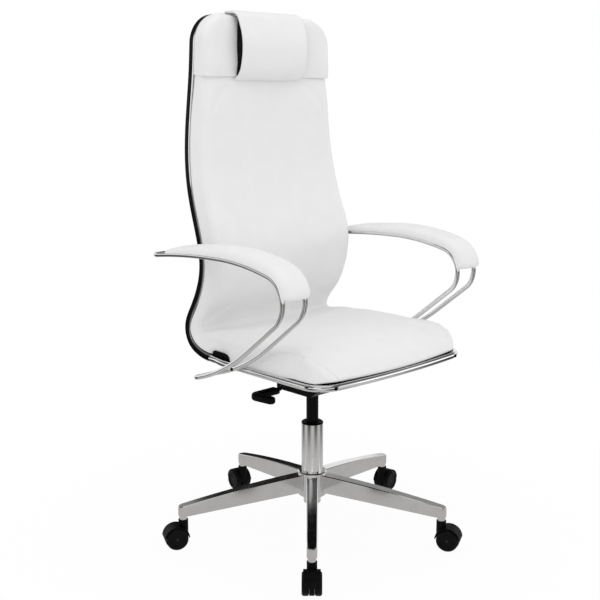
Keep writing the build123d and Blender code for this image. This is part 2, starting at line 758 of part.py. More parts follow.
with BuildPart() as lever_grip:
    with BuildSketch(Plane.XY.offset(LEVER_LOW_Z)):
        with BuildLine() as grip_spine:
            FilletPolyline(
                (GRIP_START_X, 0),
                (GRIP_CORNER_X, 0),
                (GRIP_TIP_X, GRIP_TIP_Y),
                radius=GRIP_BEND_R,
            )
        trace(line_width=GRIP_W)
        with Locations((GRIP_TIP_X, GRIP_TIP_Y)):
            Circle(GRIP_W / 2)
    extrude(amount=GRIP_H / 2, both=True)
    fillet(lever_grip.faces().sort_by(Axis.Z)[-1].edges(), GRIP_EDGE)
    fillet(lever_grip.faces().sort_by(Axis.Z)[0].edges(), GRIP_EDGE)
    with BuildSketch(Plane.YZ.offset(GRIP_START_X)):
        with Locations((0, LEVER_LOW_Z)):
            Circle(LEVER_R + FIT)
    extrude(amount=LEVER_END_X - GRIP_START_X - SOFT_GAP, mode=Mode.SUBTRACT)
keep(lever_grip, "lever_grip")

# One-piece shell: side profile cut to the front outline
back_stretch = (SHELL_TOP - LUMBAR_Z) / DRAWN_RISE
rear_points = [(PAN_REAR, PAN_BOTTOM)] + SHELL_BEND + [(LUMBAR_Y, LUMBAR_Z)]
rear_points += [(y, LUMBAR_Z + rise * back_stretch) for y, rise in SHELL_RISES]
rear_curve = Spline(*rear_points)


def shell_offset(depth):
    """Points of a line that runs in front of the shell's rear face, from the pan to the top."""
    points = []
    for step in range(OFFSET_STEPS + 1):
        spot = rear_curve @ (step / OFFSET_STEPS)
        along = rear_curve % (step / OFFSET_STEPS)
        points.append((spot.X - depth * along.Y, spot.Y + depth * along.X))
    return points


def shell_half_width(height):
    """Half of the shell's width at a height, rounded at the top corners."""
    share = (height - SHELL_WIDE_TO) / (SHELL_NARROW_FROM - SHELL_WIDE_TO)
    share = min(max(share, 0), 1)
    width = SHELL_HALF_W + (SHELL_TOP_HALF_W - SHELL_HALF_W) * share * share * (3 - 2 * share)
    over = min(max(height - (SHELL_TOP - SHELL_TOP_CORNER), 0), SHELL_TOP_CORNER)
    return width - SHELL_TOP_CORNER + sqrt(SHELL_TOP_CORNER**2 - over**2)


def front_block(inset):
    """Block with the shell's front outline, drawn in by an inset, running through the whole depth."""
    corner = SHELL_TOP_CORNER - inset
    wide = SHELL_HALF_W - inset
    narrow = SHELL_TOP_HALF_W - inset
    top = SHELL_TOP - inset
    taper_rise = SHELL_NARROW_FROM - SHELL_WIDE_TO
    with BuildPart() as block:
        with BuildSketch(Plane.XZ.offset(-OUTLINE_REACH)):
            with BuildLine():
                Line((0, 0), (wide, 0))
                Line((wide, 0), (wide, SHELL_WIDE_TO))
                Bezier(
                    (wide, SHELL_WIDE_TO),
                    (wide, SHELL_WIDE_TO + taper_rise / 3),
                    (narrow, SHELL_NARROW_FROM - taper_rise / 3),
                    (narrow, SHELL_NARROW_FROM),
                )
                Line((narrow, SHELL_NARROW_FROM), (narrow, top - corner))
                CenterArc((narrow - corner, top - corner), corner, 0, 90)
                Line((narrow - corner, top), (0, top))
                mirror(about=Plane.YZ)
            make_face()
        extrude(amount=2 * OUTLINE_REACH)
    return block.part


corner_x = SEAT_TUBE_HALF_W - SEAT_TUBE_CORNER
bow_centre_y = SEAT_TUBE_FRONT + SEAT_TUBE_BOW_R
corner_y = bow_centre_y - sqrt((SEAT_TUBE_BOW_R - SEAT_TUBE_CORNER) ** 2 - corner_x**2)
bolt_spot = on_circle((corner_x, corner_y), SEAT_TUBE_CORNER, -TUBE_BOLT_BEARING)
tab_reach = SEAT_TUBE_CORNER - SEAT_TUBE_R - FIT
foot_centre_y = ARM_NOSE[0] + ARM_NOSE_R * cos(radians(270 - ARM_FALL))
foot_centre_y += ARM_STRAIGHT * cos(radians(ARM_FALL)) + ARM_FOOT_R * sin(radians(ARM_FALL))
foot_centre_z = ARM_NOSE[1] + ARM_NOSE_R * sin(radians(270 - ARM_FALL))
foot_centre_z += ARM_FOOT_R * cos(radians(ARM_FALL)) - ARM_STRAIGHT * sin(radians(ARM_FALL))
arm_bolt_y = foot_centre_y - sqrt(ARM_FOOT_R**2 - (foot_centre_z - SEAT_TUBE_Z) ** 2)
tab_half_h = PAN_TOP - SEAT_TUBE_Z
tab_out = SEAT_TUBE_HALF_W - SEAT_TUBE_R - FIT

# Bolts through the seat tube: at the front corners, and at the arms
bolt_turn = radians(TUBE_BOLT_BEARING)
corner_bolt_planes = [
    Plane((side * bolt_spot[0], bolt_spot[1], SEAT_TUBE_Z), z_dir=(side * cos(bolt_turn), -sin(bolt_turn), 0))
    for side in (-1, 1)
]
arm_bolt_planes = [
    Plane((side * SEAT_TUBE_HALF_W, arm_bolt_y, SEAT_TUBE_Z), z_dir=(side, 0, 0)) for side in (-1, 1)
]
bolt_planes = corner_bolt_planes + arm_bolt_planes


def bolts(planes, head_seat):
    """Button-headed bolts on the given planes, with their heads at a height over the tube's middle."""
    with BuildPart() as group:
        for plane in planes:
            with BuildSketch(plane.offset(-SEAT_TUBE_R - TUBE_BOLT_GRIP)):
                Circle(TUBE_BOLT_R)
            extrude(amount=SEAT_TUBE_R + TUBE_BOLT_GRIP + head_seat)
            with BuildSketch(plane.offset(head_seat)):
                Circle(TUBE_BOLT_HEAD_R)
            extrude(amount=TUBE_BOLT_HEAD_T, taper=TUBE_BOLT_HEAD_TAPER)
    return group


with BuildPart() as shell:
    with BuildSketch(Plane.YZ):
        with BuildLine():
            inner_points = shell_offset(SHELL_T)
            Spline(*rear_points)
            Line(rear_points[-1], inner_points[-1])
            Spline(*inner_points)
            Polyline(inner_points[0], (PAN_FRONT, PAN_TOP), (PAN_FRONT, PAN_BOTTOM), rear_points[0])
        make_face()
    extrude(amount=SHELL_HALF_W, both=True)
    add(front_block(0), mode=Mode.INTERSECT)
    fillet(shell.edges().filter_by(Axis.Z).group_by(Axis.Y)[0], PAN_CORNER)
    with BuildSketch(Plane.XY.offset(SEAT_TUBE_Z)):
        for side in (-1, 1):
            with Locations(Location((0, arm_bolt_y), 90 - 90 * side)):
                Rectangle(tab_out, TAB_LENGTH, align=(Align.MIN, Align.CENTER))
            with Locations((side * corner_x, corner_y)):
                Circle(tab_reach)
    extrude(amount=tab_half_h, both=True)
    with BuildSketch(Plane.XY.offset(PAN_BOTTOM)):
        with Locations((0, SCREW_MID_Y)):
            with GridLocations(SCREW_SPAN_X, SCREW_SPAN_Y, 2, 2):
                Circle(SCREW_R + FIT)
    extrude(amount=SCREW_GRIP + SOFT_GAP, mode=Mode.SUBTRACT)
    for bolt_plane in bolt_planes:
        with BuildSketch(bolt_plane):
            Circle(TUBE_BOLT_R + FIT)
        extrude(amount=-(SEAT_TUBE_R + TUBE_BOLT_GRIP + SOFT_GAP), mode=Mode.SUBTRACT)
keep(shell, "shell")

# Chrome trim strip round the back's edge, between the shell and the upholstery
with BuildPart() as trim_strip:
    with BuildSketch(Plane.YZ):
        with BuildLine():
            trim_rear = shell_offset(SHELL_T + FIT)
            trim_front = shell_offset(SHELL_T + TRIM_T)
            Spline(*trim_rear)
            Line(trim_rear[-1], trim_front[-1])
            Spline(*trim_front)
            Line(trim_front[0], trim_rear[0])
        make_face()
    extrude(amount=SHELL_HALF_W, both=True)
    add(front_block(0), mode=Mode.INTERSECT)
    add(front_block(TRIM_W), mode=Mode.SUBTRACT)
keep(trim_strip, "trim_strip")


# Back and head pads: sections square to the shell's curve
def curve_share(height):
    """Share of the shell's curve at which its back reaches a height, found by halving."""
    low, high = BACK_FROM_SHARE, 1.0
    for _ in range(HALVINGS):
        middle = (low + high) / 2
        low, high = (middle, high) if (rear_curve @ middle).Y < height else (low, middle)
    return low


def back_section(height, thickness, crown):
    """Section of a pad on the back, level with a height on the shell's rear face."""
    share = curve_share(height)
    spot = rear_curve @ share
    along = rear_curve % share
    plane = Plane((0, spot.X, spot.Y), x_dir=(1, 0, 0), z_dir=(0, -along.X, -along.Y))
    half_width = shell_half_width(height) - PAD_INSET
    return pad_section(plane, half_width, PAD_NEAR, PAD_NEAR + thickness, crown, BACK_PAD_DRAW)


back_sections = []
for step in range(BACK_PAD_SECTIONS):
    height = BACK_PAD_BOTTOM + (HEAD_BOTTOM - BACK_PAD_BOTTOM) * step / (BACK_PAD_SECTIONS - 1)
    thin = max(height - BACK_PAD_THIN_FROM, 0) / (HEAD_BOTTOM - BACK_PAD_THIN_FROM)
    thickness = BACK_PAD_T + (BACK_PAD_TOP_T - BACK_PAD_T) * thin
    crown = BACK_PAD_CROWN + (BACK_PAD_TOP_CROWN - BACK_PAD_CROWN) * thin
    back_sections.append(back_section(height, thickness, crown))
back_cushion = lofted(back_sections)
keep(back_cushion, "back_cushion")

head_corner_z = SHELL_TOP - SHELL_TOP_CORNER
head_heights = [HEAD_BOTTOM + SOFT_GAP]
head_heights += [head_corner_z + SHELL_TOP_CORNER * share for share in HEAD_CORNER_SHARES]
head_pad = lofted([back_section(height, HEAD_PAD_T, HEAD_CROWN) for height in head_heights])
keep(head_pad, "head_pad")


# Chrome seat tube: bowed front, rounded corners, ends tucked in against the shell
tuck_x = SHELL_HALF_W + SEAT_TUBE_R + FIT
tuck_in = (SEAT_TUBE_HALF_W - tuck_x) / 2
tuck_run = (SEAT_TUBE_END_Y - SEAT_TUBE_TUCK_Y) / 2
tuck_r = (tuck_in**2 + tuck_run**2) / (2 * tuck_in)
tuck_turn = degrees(asin(tuck_run / tuck_r))
bow_end_bearing = -degrees(acos(corner_x / (SEAT_TUBE_BOW_R - SEAT_TUBE_CORNER)))


def tube_arc(centre, radius, start, end):
    """Arc of the seat tube's middle line, between two bearings."""
    spots = [on_circle(centre, radius, bearing) for bearing in (start, (start + end) / 2, end)]
    return ThreePointArc(*[(x, y, SEAT_TUBE_Z) for x, y in spots])


with BuildLine() as seat_tube_path:
    tube_arc((0, bow_centre_y), SEAT_TUBE_BOW_R, -90, bow_end_bearing)
    tube_arc((corner_x, corner_y), SEAT_TUBE_CORNER, bow_end_bearing, 0)
    Line((SEAT_TUBE_HALF_W, corner_y, SEAT_TUBE_Z), (SEAT_TUBE_HALF_W, SEAT_TUBE_TUCK_Y, SEAT_TUBE_Z))
    tube_arc((SEAT_TUBE_HALF_W - tuck_r, SEAT_TUBE_TUCK_Y), tuck_r, 0, tuck_turn)
    tube_arc((tuck_x + tuck_r, SEAT_TUBE_END_Y), tuck_r, 180 + tuck_turn, 180)
half_tube = swept(seat_tube_path.line, SEAT_TUBE_R)
with BuildPart() as seat_tube:
    add(half_tube.part)
    mirror(half_tube.part, about=Plane.YZ)
    for bolt_plane in bolt_planes:
        with BuildSketch(bolt_plane):
            Circle(TUBE_BOLT_R + FIT)
        extrude(amount=2 * SEAT_TUBE_R, both=True, mode=Mode.SUBTRACT)
keep(seat_tube, "seat_tube")
tube_bolts = bolts(corner_bolt_planes, SEAT_TUBE_R + FIT)
keep(tube_bolts, "tube_bolts")
arm_bolts = bolts(arm_bolt_planes, SEAT_TUBE_R + 2 * ARM_ROD_R + 2 * FIT)
keep(arm_bolts, "arm_bolts")

# Side inserts on the pan, below the rear of the seat cushion
with BuildPart() as insert_left:
    with BuildSketch(Plane.XY.offset(PAN_TOP + FIT)):
        with Locations((SHELL_HALF_W, PAN_REAR)):
            Rectangle(INSERT_T, INSERT_LENGTH, align=(Align.MAX, Align.MAX))
    extrude(amount=INSERT_H)
    fillet(insert_left.edges().filter_by(Axis.X).group_by(Axis.Z)[-1], INSERT_T)
keep(insert_left, "side_insert_left")
keep(mirrored(insert_left), "side_insert_right")


# Seat cushion: upright sections from the rolled front to the tucked rear
def seat_half_width(y):
    """Half of the seat cushion's width at a depth y."""
    ahead = min(max(SEAT_FRONT + SEAT_CORNER - y, 0), SEAT_CORNER)
    tuck_share = min(max((y - SEAT_TUCK_FROM) / (SEAT_TUCK_TO - SEAT_TUCK_FROM), 0), 1)
    width = SEAT_HALF_W - SEAT_CORNER + sqrt(SEAT_CORNER**2 - ahead**2)
    return width - (SEAT_HALF_W - SEAT_REAR_HALF_W) * tuck_share


def seat_section(y):
    """Upright section of the seat cushion at a depth y."""
    ahead = min(max(SEAT_FRONT + SEAT_ROLL - y, 0) / SEAT_ROLL, 1)
    top = SEAT_TOP - SEAT_ROLL_DROP * (1 - sqrt(1 - ahead**2))
    bottom = SEAT_TUBE_Z + SEAT_TUBE_R if ahead > 0 else PAN_TOP
    draw = min(SEAT_DRAW, (top - bottom) / 3)
    plane = Plane((0, y, 0), x_dir=(1, 0, 0), z_dir=(0, -1, 0))
    return pad_section(plane, seat_half_width(y), bottom + SOFT_GAP, top, SEAT_CROWN, draw)


roll_turns = [radians(90 - 90 * step / SEAT_ROLL_STEPS) for step in range(SEAT_ROLL_STEPS + 1)]
seat_stations = [SEAT_FRONT + SEAT_ROLL * (1 - sin(turn)) for turn in roll_turns]
seat_stations += [SEAT_TUCK_FROM, SEAT_TUCK_TO, SEAT_REAR]
with BuildPart() as seat_cushion:
    loft(sections=[seat_section(y) for y in seat_stations], ruled=True)
    with BuildSketch(Plane.YZ):
        with BuildLine():
            corner_line = shell_offset(PAD_NEAR)
            Spline(*corner_line)
            Polyline(
                corner_line[-1],
                (OUTLINE_REACH, SHELL_TOP),
                (OUTLINE_REACH, 0),
                (corner_line[0][0], 0),
                corner_line[0],
            )
        make_face()
    extrude(amount=SEAT_HALF_W, both=True, mode=Mode.SUBTRACT)
    with BuildSketch(Plane.XY.offset(PAN_TOP)):
        for side in (-1, 1):
            with Locations((side * SHELL_HALF_W, PAN_REAR - INSERT_LENGTH / 2)):
                Rectangle(2 * (INSERT_T + SOFT_GAP), INSERT_LENGTH + 2 * SOFT_GAP)
    extrude(amount=INSERT_H + 2 * SOFT_GAP, mode=Mode.SUBTRACT)
keep(seat_cushion, "seat_cushion")

# Head band: bowed strap in front of the head pad, carried over the top of the shell
pad_front = PAD_NEAR + HEAD_PAD_T + HEAD_CROWN + BAND_CLEAR


def ahead_of_shell(height, depth):
    """Point at a depth in front of the shell's rear face, in the side view."""
    spot = rear_curve @ curve_share(height)
    return (spot.X - depth, height)


band_low = HEAD_BOTTOM + SOFT_GAP
band_mid = (HEAD_BOTTOM + SHELL_TOP) / 2
band_top = SHELL_TOP + SOFT_GAP
band_rear = ahead_of_shell(SHELL_TOP, 0)[0]
bow_front = pad_front + BAND_BOW
band_in = [ahead_of_shell(band_low, pad_front), ahead_of_shell(band_mid, bow_front)]
band_in += [ahead_of_shell(band_top, pad_front)]
band_out = [ahead_of_shell(band_low, pad_front + BAND_T), ahead_of_shell(band_mid, bow_front + BAND_T)]
band_out += [(band_in[2][0] - BAND_T / 2, band_top + BAND_T / 2)]
with BuildPart() as head_band:
    with BuildSketch(Plane.YZ):
        with BuildLine():
            ThreePointArc(*band_in)
            Polyline(band_in[2], (band_rear, band_top), (band_rear, band_top + BAND_T))
            Line((band_rear, band_top + BAND_T), (band_in[2][0], band_top + BAND_T))
            RadiusArc((band_in[2][0], band_top + BAND_T), band_out[2], -BAND_T / 2)
            ThreePointArc(*band_out)
            Line(band_out[0], band_in[0])
        make_face()
    extrude(amount=BAND_HALF_W, both=True)
keep(head_band, "head_band")

with BuildPart() as band_core:
    with BuildSketch(Plane.YZ):
        with BuildLine():
            core_points = [(y + SOFT_GAP, z) for y, z in band_in]
            ThreePointArc(*core_points)
            Line(core_points[2], core_points[0])
        make_face()
    extrude(amount=BAND_HALF_W - CORE_RECESS, both=True)
keep(band_core, "band_core")

# Arm loops: half a loop along arcs that run into each other, then its mirror image
nose_start = 90 + ARM_UPPER_SLOPE
nose_end = 270 - ARM_FALL
upper_centre = on_circle(ARM_NOSE, ARM_NOSE_R - ARM_UPPER_R, nose_start)
rear_centre = (upper_centre[0], upper_centre[1] + ARM_UPPER_R - ARM_REAR_R)
rear_bearing = 90 - degrees(asin(ARM_REAR_RUN / ARM_REAR_R))
foot_centre = (foot_centre_y, foot_centre_z)
foot_end_bearing = 270 - ARM_FOOT_SLOPE


def arm_arc(x, centre, radius, start, end):
    """Arc of an arm rod in the upright plane at x, between two bearings."""
    spots = [on_circle(centre, radius, bearing) for bearing in (start, (start + end) / 2, end)]
    return ThreePointArc(*[(x, y, z) for y, z in spots])


def arm_turn(centre, radius, bearing, heading):
    """Quarter of the loop's end turn, from the rod to the loop's middle."""
    turn_r = ARM_SPAN / 2
    y, z = on_circle(centre, radius, bearing)
    along = (turn_r * cos(radians(heading)), turn_r * sin(radians(heading)))
    slant = sqrt(0.5)
    start = (ARM_MID_X + turn_r, y, z)
    middle = (ARM_MID_X + slant * turn_r, y + slant * along[0], z + slant * along[1])
    return ThreePointArc(start, middle, (ARM_MID_X, y + along[0], z + along[1]))


arm_outer_x = ARM_MID_X + ARM_SPAN / 2
with BuildLine() as arm_path:
    arm_turn(rear_centre, ARM_REAR_R, rear_bearing, rear_bearing - 90)
    arm_arc(arm_outer_x, rear_centre, ARM_REAR_R, rear_bearing, 90)
    arm_arc(arm_outer_x, upper_centre, ARM_UPPER_R, 90, nose_start)
    arm_arc(arm_outer_x, ARM_NOSE, ARM_NOSE_R, nose_start, nose_end)
    straight_start = on_circle(ARM_NOSE, ARM_NOSE_R, nose_end)
    straight_end = on_circle(foot_centre, ARM_FOOT_R, nose_end)
    Line((arm_outer_x, *straight_start), (arm_outer_x, *straight_end))
    arm_arc(arm_outer_x, foot_centre, ARM_FOOT_R, nose_end, foot_end_bearing)
    arm_turn(foot_centre, ARM_FOOT_R, foot_end_bearing, foot_end_bearing - 270)
half_arm = swept(arm_path.line, ARM_ROD_R)
with BuildPart() as arm_loop_left:
    add(half_arm.part)
    mirror(half_arm.part, about=Plane.YZ.offset(ARM_MID_X))
    with BuildSketch(arm_bolt_planes[1]):
        Circle(TUBE_BOLT_R + FIT)
    extrude(amount=ARM_SPAN / 2, mode=Mode.SUBTRACT)
keep(arm_loop_left, "arm_loop_left")
keep(mirrored(arm_loop_left), "arm_loop_right")


# Arm rests: pads along the upper rods, thickening towards the nose
def rest_section(centre, radius, bearing, thickness):
    """Section of an arm rest square to the rods at a bearing of one of their arcs."""
    y, z = on_circle(centre, radius, bearing)
    along = (0, -sin(radians(bearing)), cos(radians(bearing)))
    plane = Plane((ARM_MID_X, y, z), x_dir=(1, 0, 0), z_dir=along)
    near = ARM_ROD_R + 2 * SOFT_GAP
    draw = min(REST_DRAW, (thickness - near) / 3)
    return pad_section(plane, REST_HALF_W, near, thickness, REST_CROWN, draw)


rest_rear_bearing = 90 - degrees(asin(REST_REAR_RUN / ARM_REAR_R))
rest_mid_bearing = 90 - degrees(asin(REST_MID_RUN / ARM_REAR_R))
rest_stations = [
    (rear_centre, ARM_REAR_R, rest_rear_bearing, REST_REAR_T),
    (rear_centre, ARM_REAR_R, rest_mid_bearing, (REST_REAR_T + REST_MID_T) / 2),
    (upper_centre, ARM_UPPER_R, 90, REST_MID_T),
    (upper_centre, ARM_UPPER_R, (90 + nose_start) / 2, (2 * REST_MID_T + REST_FRONT_T) / 3),
    (ARM_NOSE, ARM_NOSE_R, nose_start, (REST_MID_T + 2 * REST_FRONT_T) / 3),
    (ARM_NOSE, ARM_NOSE_R, (nose_start + REST_END_BEARING) / 2, REST_FRONT_T),
    (ARM_NOSE, ARM_NOSE_R, REST_END_BEARING, REST_FRONT_T),
]
arm_rest_left = lofted([rest_section(*station) for station in rest_stations])
keep(arm_rest_left, "arm_rest_left")
keep(mirrored(arm_rest_left), "arm_rest_right")
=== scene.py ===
import json
import logging
from dataclasses import dataclass, field
from enum import Enum
from typing import Any, Iterable, Sequence

import bpy
import numpy as np
from mathutils import Matrix


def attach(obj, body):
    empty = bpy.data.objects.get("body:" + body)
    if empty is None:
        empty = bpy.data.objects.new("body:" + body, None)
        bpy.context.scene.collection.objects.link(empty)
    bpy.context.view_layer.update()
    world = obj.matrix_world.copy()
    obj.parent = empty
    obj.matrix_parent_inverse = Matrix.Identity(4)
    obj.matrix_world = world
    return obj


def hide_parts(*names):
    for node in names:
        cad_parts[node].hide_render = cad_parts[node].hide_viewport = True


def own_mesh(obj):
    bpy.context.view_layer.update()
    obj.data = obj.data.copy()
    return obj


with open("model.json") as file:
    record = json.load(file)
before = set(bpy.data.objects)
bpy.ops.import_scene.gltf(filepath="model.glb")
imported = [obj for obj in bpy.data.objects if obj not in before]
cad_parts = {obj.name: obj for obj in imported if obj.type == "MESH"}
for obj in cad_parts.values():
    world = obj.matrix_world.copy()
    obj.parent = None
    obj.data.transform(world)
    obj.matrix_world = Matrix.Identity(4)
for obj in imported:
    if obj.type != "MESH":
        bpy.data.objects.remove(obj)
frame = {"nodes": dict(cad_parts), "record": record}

LOG = logging.getLogger("office_chair")
MM = 0.001
UP = np.array([0.0, 0.0, 1.0])
ASKEW = np.array([0.31, 0.17, 0.93])
Array = np.ndarray
Knots = tuple[tuple[float, ...], ...]
Pair = tuple[float, float]
Triple = tuple[float, float, float]


class Body(Enum):
    """Moving groups of the chair that new pieces ride on."""

    SEAT = "seat"


class Slot(Enum):
    """Material slots of the record."""

    LEATHER = "white_leather"
    PLASTIC = "black_plastic"
    WHEEL = "castor_tread"
    STEEL = "steel"
    BASE = "polished_metal"
    PAINT = "black_paint"
    SHELL = "black_shell"
    CHROME = "chrome"
    SCREW = "black_screws"


class Value:
    """A number on the surface; arithmetic on it adds Math nodes."""

    def __init__(self, graph: "Graph", socket: Any) -> None:
        """Wrap an output socket of a node tree."""
        self.graph = graph
        self.socket = socket

    def _math(self, operation: str, *others: Any) -> "Value":
        """Add one Math node.

        Args:
            operation: name of the operation.
            others: numbers or values, in the order of the node's sockets.

        Returns:
            The node's result.
        """
        return self.graph.node("ShaderNodeMath", {"operation": operation}, dict(enumerate(others)))

    def __add__(self, other: Any) -> "Value":
        """Sum."""
        return self._math("ADD", self, other)

    def __radd__(self, other: Any) -> "Value":
        """Sum with a number on the left."""
        return self._math("ADD", other, self)

    def __sub__(self, other: Any) -> "Value":
        """Difference."""
        return self._math("SUBTRACT", self, other)

    def __rsub__(self, other: Any) -> "Value":
        """Difference from a number on the left."""
        return self._math("SUBTRACT", other, self)

    def __mul__(self, other: Any) -> "Value":
        """Product."""
        return self._math("MULTIPLY", self, other)

    def __rmul__(self, other: Any) -> "Value":
        """Product with a number on the left."""
        return self._math("MULTIPLY", other, self)

    def band(self, low: float, high: float) -> "Value":
        """Smooth step from 0 at low to 1 at high."""
        settings = {"interpolation_type": "SMOOTHSTEP"}
        return self.graph.node("ShaderNodeMapRange", settings, {0: self, 1: low, 2: high, 3: 0.0, 4: 1.0})


class Graph:
    """A node tree that nodes are added to."""

    def __init__(self, tree: bpy.types.NodeTree) -> None:
        """Take over a tree."""
        self.tree = tree

    def node(self, kind: str, settings: dict[str, Any], sockets: dict[Any, Any], output: Any = 0) -> Value:
        """Add a node.

        Args:
            kind: type of node.
            settings: properties, set first.
            sockets: numbers, colours or values by socket name or number.
            output: name or number of the result.

        Returns:
            The node's result.
        """
        made = self.tree.nodes.new(kind)
        for key, setting in settings.items():
            setattr(made, key, setting)
        for key, given in sockets.items():
            if isinstance(given, Value):
                self.tree.links.new(given.socket, made.inputs[key])
            else:
                made.inputs[key].default_value = given
        return Value(self, made.outputs[output])

    def blend(self, share: Value, low: Sequence[float], high: Sequence[float]) -> Value:
        """Colour between low and high by a share from 0 to 1."""
        settings = {"data_type": "RGBA"}
        return self.node("ShaderNodeMix", settings, {0: share, 6: (*low, 1.0), 7: (*high, 1.0)}, 2)

    def rays(self, kind: str) -> Value:
        """1 for rays of one kind, such as Is Camera Ray, and 0 for all others."""
        return self.node("ShaderNodeLightPath", {}, {}, kind)


class Shader(Graph):
    """Node tree of one material, on Object coordinates in metres."""

    def __init__(self, name: str) -> None:
        """Start an empty material with a Principled surface."""
        self.material = bpy.data.materials.new(name)
        self.material.use_nodes = True
        super().__init__(self.material.node_tree)
        self.surface = self.tree.nodes["Principled BSDF"]
        self.place = self.node("ShaderNodeTexCoord", {}, {}, "Object")

    def noise(self, size_mm: float, detail: float = 2.0, stretch: Sequence[float] = (1.0, 1.0, 1.0)) -> Value:
        """Cloudy noise with features of about size_mm, drawn out along the axes by stretch."""
        scale = tuple(1.0 / share for share in stretch)
        place = self.node("ShaderNodeMapping", {}, {"Vector": self.place, "Scale": scale})
        sockets = {"Vector": place, "Scale": 1.0 / (size_mm * MM), "Detail": detail}
        return self.node("ShaderNodeTexNoise", {}, sockets, "Fac")

    def cells(self, size_mm: float) -> Value:
        """Distance to the middle of pebble-shaped cells of about size_mm."""
        settings = {"feature": "SMOOTH_F1"}
        sockets = {"Vector": self.place, "Scale": 1.0 / (size_mm * MM), "Smoothness": 0.6}
        return self.node("ShaderNodeTexVoronoi", settings, sockets, "Distance")

    def link(self, name: str, value: Value) -> None:
        """Feed a surface socket with something that changes over the surface."""
        self.tree.links.new(value.socket, self.surface.inputs[name])

    def fixed(self, **sockets: Any) -> None:
        """Set surface sockets that are the same all over; underscores stand for spaces."""
        for name, given in sockets.items():
            self.surface.inputs[name.replace("_", " ")].default_value = given

    def bump(self, height: Value, depth_mm: float, strength: float) -> None:
        """Raise the surface by a height from 0 to 1 times depth_mm."""
        sockets = {"Height": height, "Distance": depth_mm * MM, "Strength": strength}
        self.link("Normal", self.node("ShaderNodeBump", {}, sockets, "Normal"))


@dataclass(frozen=True)
class Leatherette:
    """White coated cloth: pebbled grain, faint mottling, soft sheen."""

    low: Triple = (0.822, 0.822, 0.820)
    high: Triple = (0.838, 0.838, 0.836)
    mottle_mm: float = 38.0
    grain_mm: float = 1.3
    pore_mm: float = 0.45
    relief_mm: float = 0.10
    roughness: float = 0.50
    gloss: float = 0.30
    sheen: float = 0.05

    def material(self) -> bpy.types.Material:
        """Build the finish."""
        shader = Shader("white_leatherette")
        mottle = shader.noise(self.mottle_mm, 3.0)
        grain = shader.cells(self.grain_mm)
        pores = shader.noise(self.pore_mm, 1.0)
        shader.link("Base Color", shader.blend(mottle.band(0.3, 0.7) - 0.25 * grain, self.low, self.high))
        shader.link("Roughness", self.roughness + 0.03 * mottle + 0.05 * pores)
        shader.bump(grain + 0.25 * pores, self.relief_mm, 0.3)
        shader.fixed(Specular_IOR_Level=self.gloss, Sheen_Weight=self.sheen, Sheen_Roughness=0.5)
        return shader.material


@dataclass(frozen=True)
class Metal:
    """Bare or plated metal: draw lines, smears and a little dulling."""

    name: str
    low: Triple
    high: Triple
    roughness: float
    smear: float
    lines_mm: float
    relief_mm: float
    cloud_mm: float = 26.0
    drawn_out: float = 14.0

    def material(self) -> bpy.types.Material:
        """Build the finish."""
        shader = Shader(self.name)
        cloud = shader.noise(self.cloud_mm, 4.0)
        lines = shader.noise(self.lines_mm, 2.0, (1.0, 1.0, self.drawn_out))
        shader.link("Base Color", shader.blend(cloud.band(0.25, 0.75), self.low, self.high))
        smears = self.smear * cloud.band(0.35, 0.8)
        shader.link("Roughness", self.roughness + smears + 0.3 * self.smear * lines)
        shader.bump(lines, self.relief_mm, 0.2)
        shader.fixed(Metallic=1.0)
        return shader.material


@dataclass(frozen=True)
class Moulded:
    """Black plastic or paint: spark-eroded or orange-peel skin with rubbed patches."""

    name: str
    low: Triple
    high: Triple
    roughness: float
    skin_mm: float
    relief_mm: float
    gloss: float = 0.08
    rubbed_mm: float = 30.0

    def material(self) -> bpy.types.Material:
        """Build the finish."""
        shader = Shader(self.name)
        rubbed = shader.noise(self.rubbed_mm, 4.0).band(0.35, 0.75)
        skin = shader.noise(self.skin_mm, 2.0)
        shader.link("Base Color", shader.blend(rubbed, self.low, self.high))
        shader.link("Roughness", self.roughness + 0.08 * rubbed + 0.05 * skin)
        shader.bump(skin, self.relief_mm, 0.3)
        shader.fixed(Specular_IOR_Level=self.gloss)
        return shader.material


FINISHES: dict[Slot, Any] = {
    Slot.LEATHER: Leatherette(),
    Slot.CHROME: Metal("bright_chrome", (0.76, 0.765, 0.775), (0.82, 0.825, 0.83), 0.05, 0.05, 0.8, 0.01),
    Slot.BASE: Metal("polished_aluminium", (0.68, 0.675, 0.67), (0.74, 0.735, 0.73), 0.12, 0.07, 0.6, 0.02),
    Slot.STEEL: Metal("dark_steel", (0.030, 0.030, 0.032), (0.055, 0.055, 0.058), 0.34, 0.12, 0.5, 0.03),
    Slot.PLASTIC: Moulded(
        "black_plastic", (0.0022, 0.0022, 0.0024), (0.0040, 0.0040, 0.0043), 0.42, 0.6, 0.04
    ),
    Slot.WHEEL: Moulded(
        "black_nylon", (0.0024, 0.0024, 0.0026), (0.0045, 0.0045, 0.0048), 0.36, 0.9, 0.04, 0.11
    ),
    Slot.PAINT: Moulded(
        "black_paint", (0.0020, 0.0020, 0.0022), (0.0035, 0.0035, 0.0038), 0.34, 2.2, 0.03, 0.11
    ),
    Slot.SHELL: Moulded(
        "black_shell", (0.0018, 0.0018, 0.0020), (0.0032, 0.0032, 0.0034), 0.30, 1.4, 0.03
    ),
    Slot.SCREW: Moulded(
        "black_oxide", (0.0040, 0.0040, 0.0043), (0.0090, 0.0090, 0.0095), 0.36, 0.5, 0.02
    ),
}
MATERIALS: dict[Slot, bpy.types.Material] = {}


def ease(share: Array) -> Array:
    """Smooth step: 3 s squared less 2 s cubed, held between 0 and 1."""
    held = np.clip(share, 0.0, 1.0)
    return held * held * (3.0 - 2.0 * held)


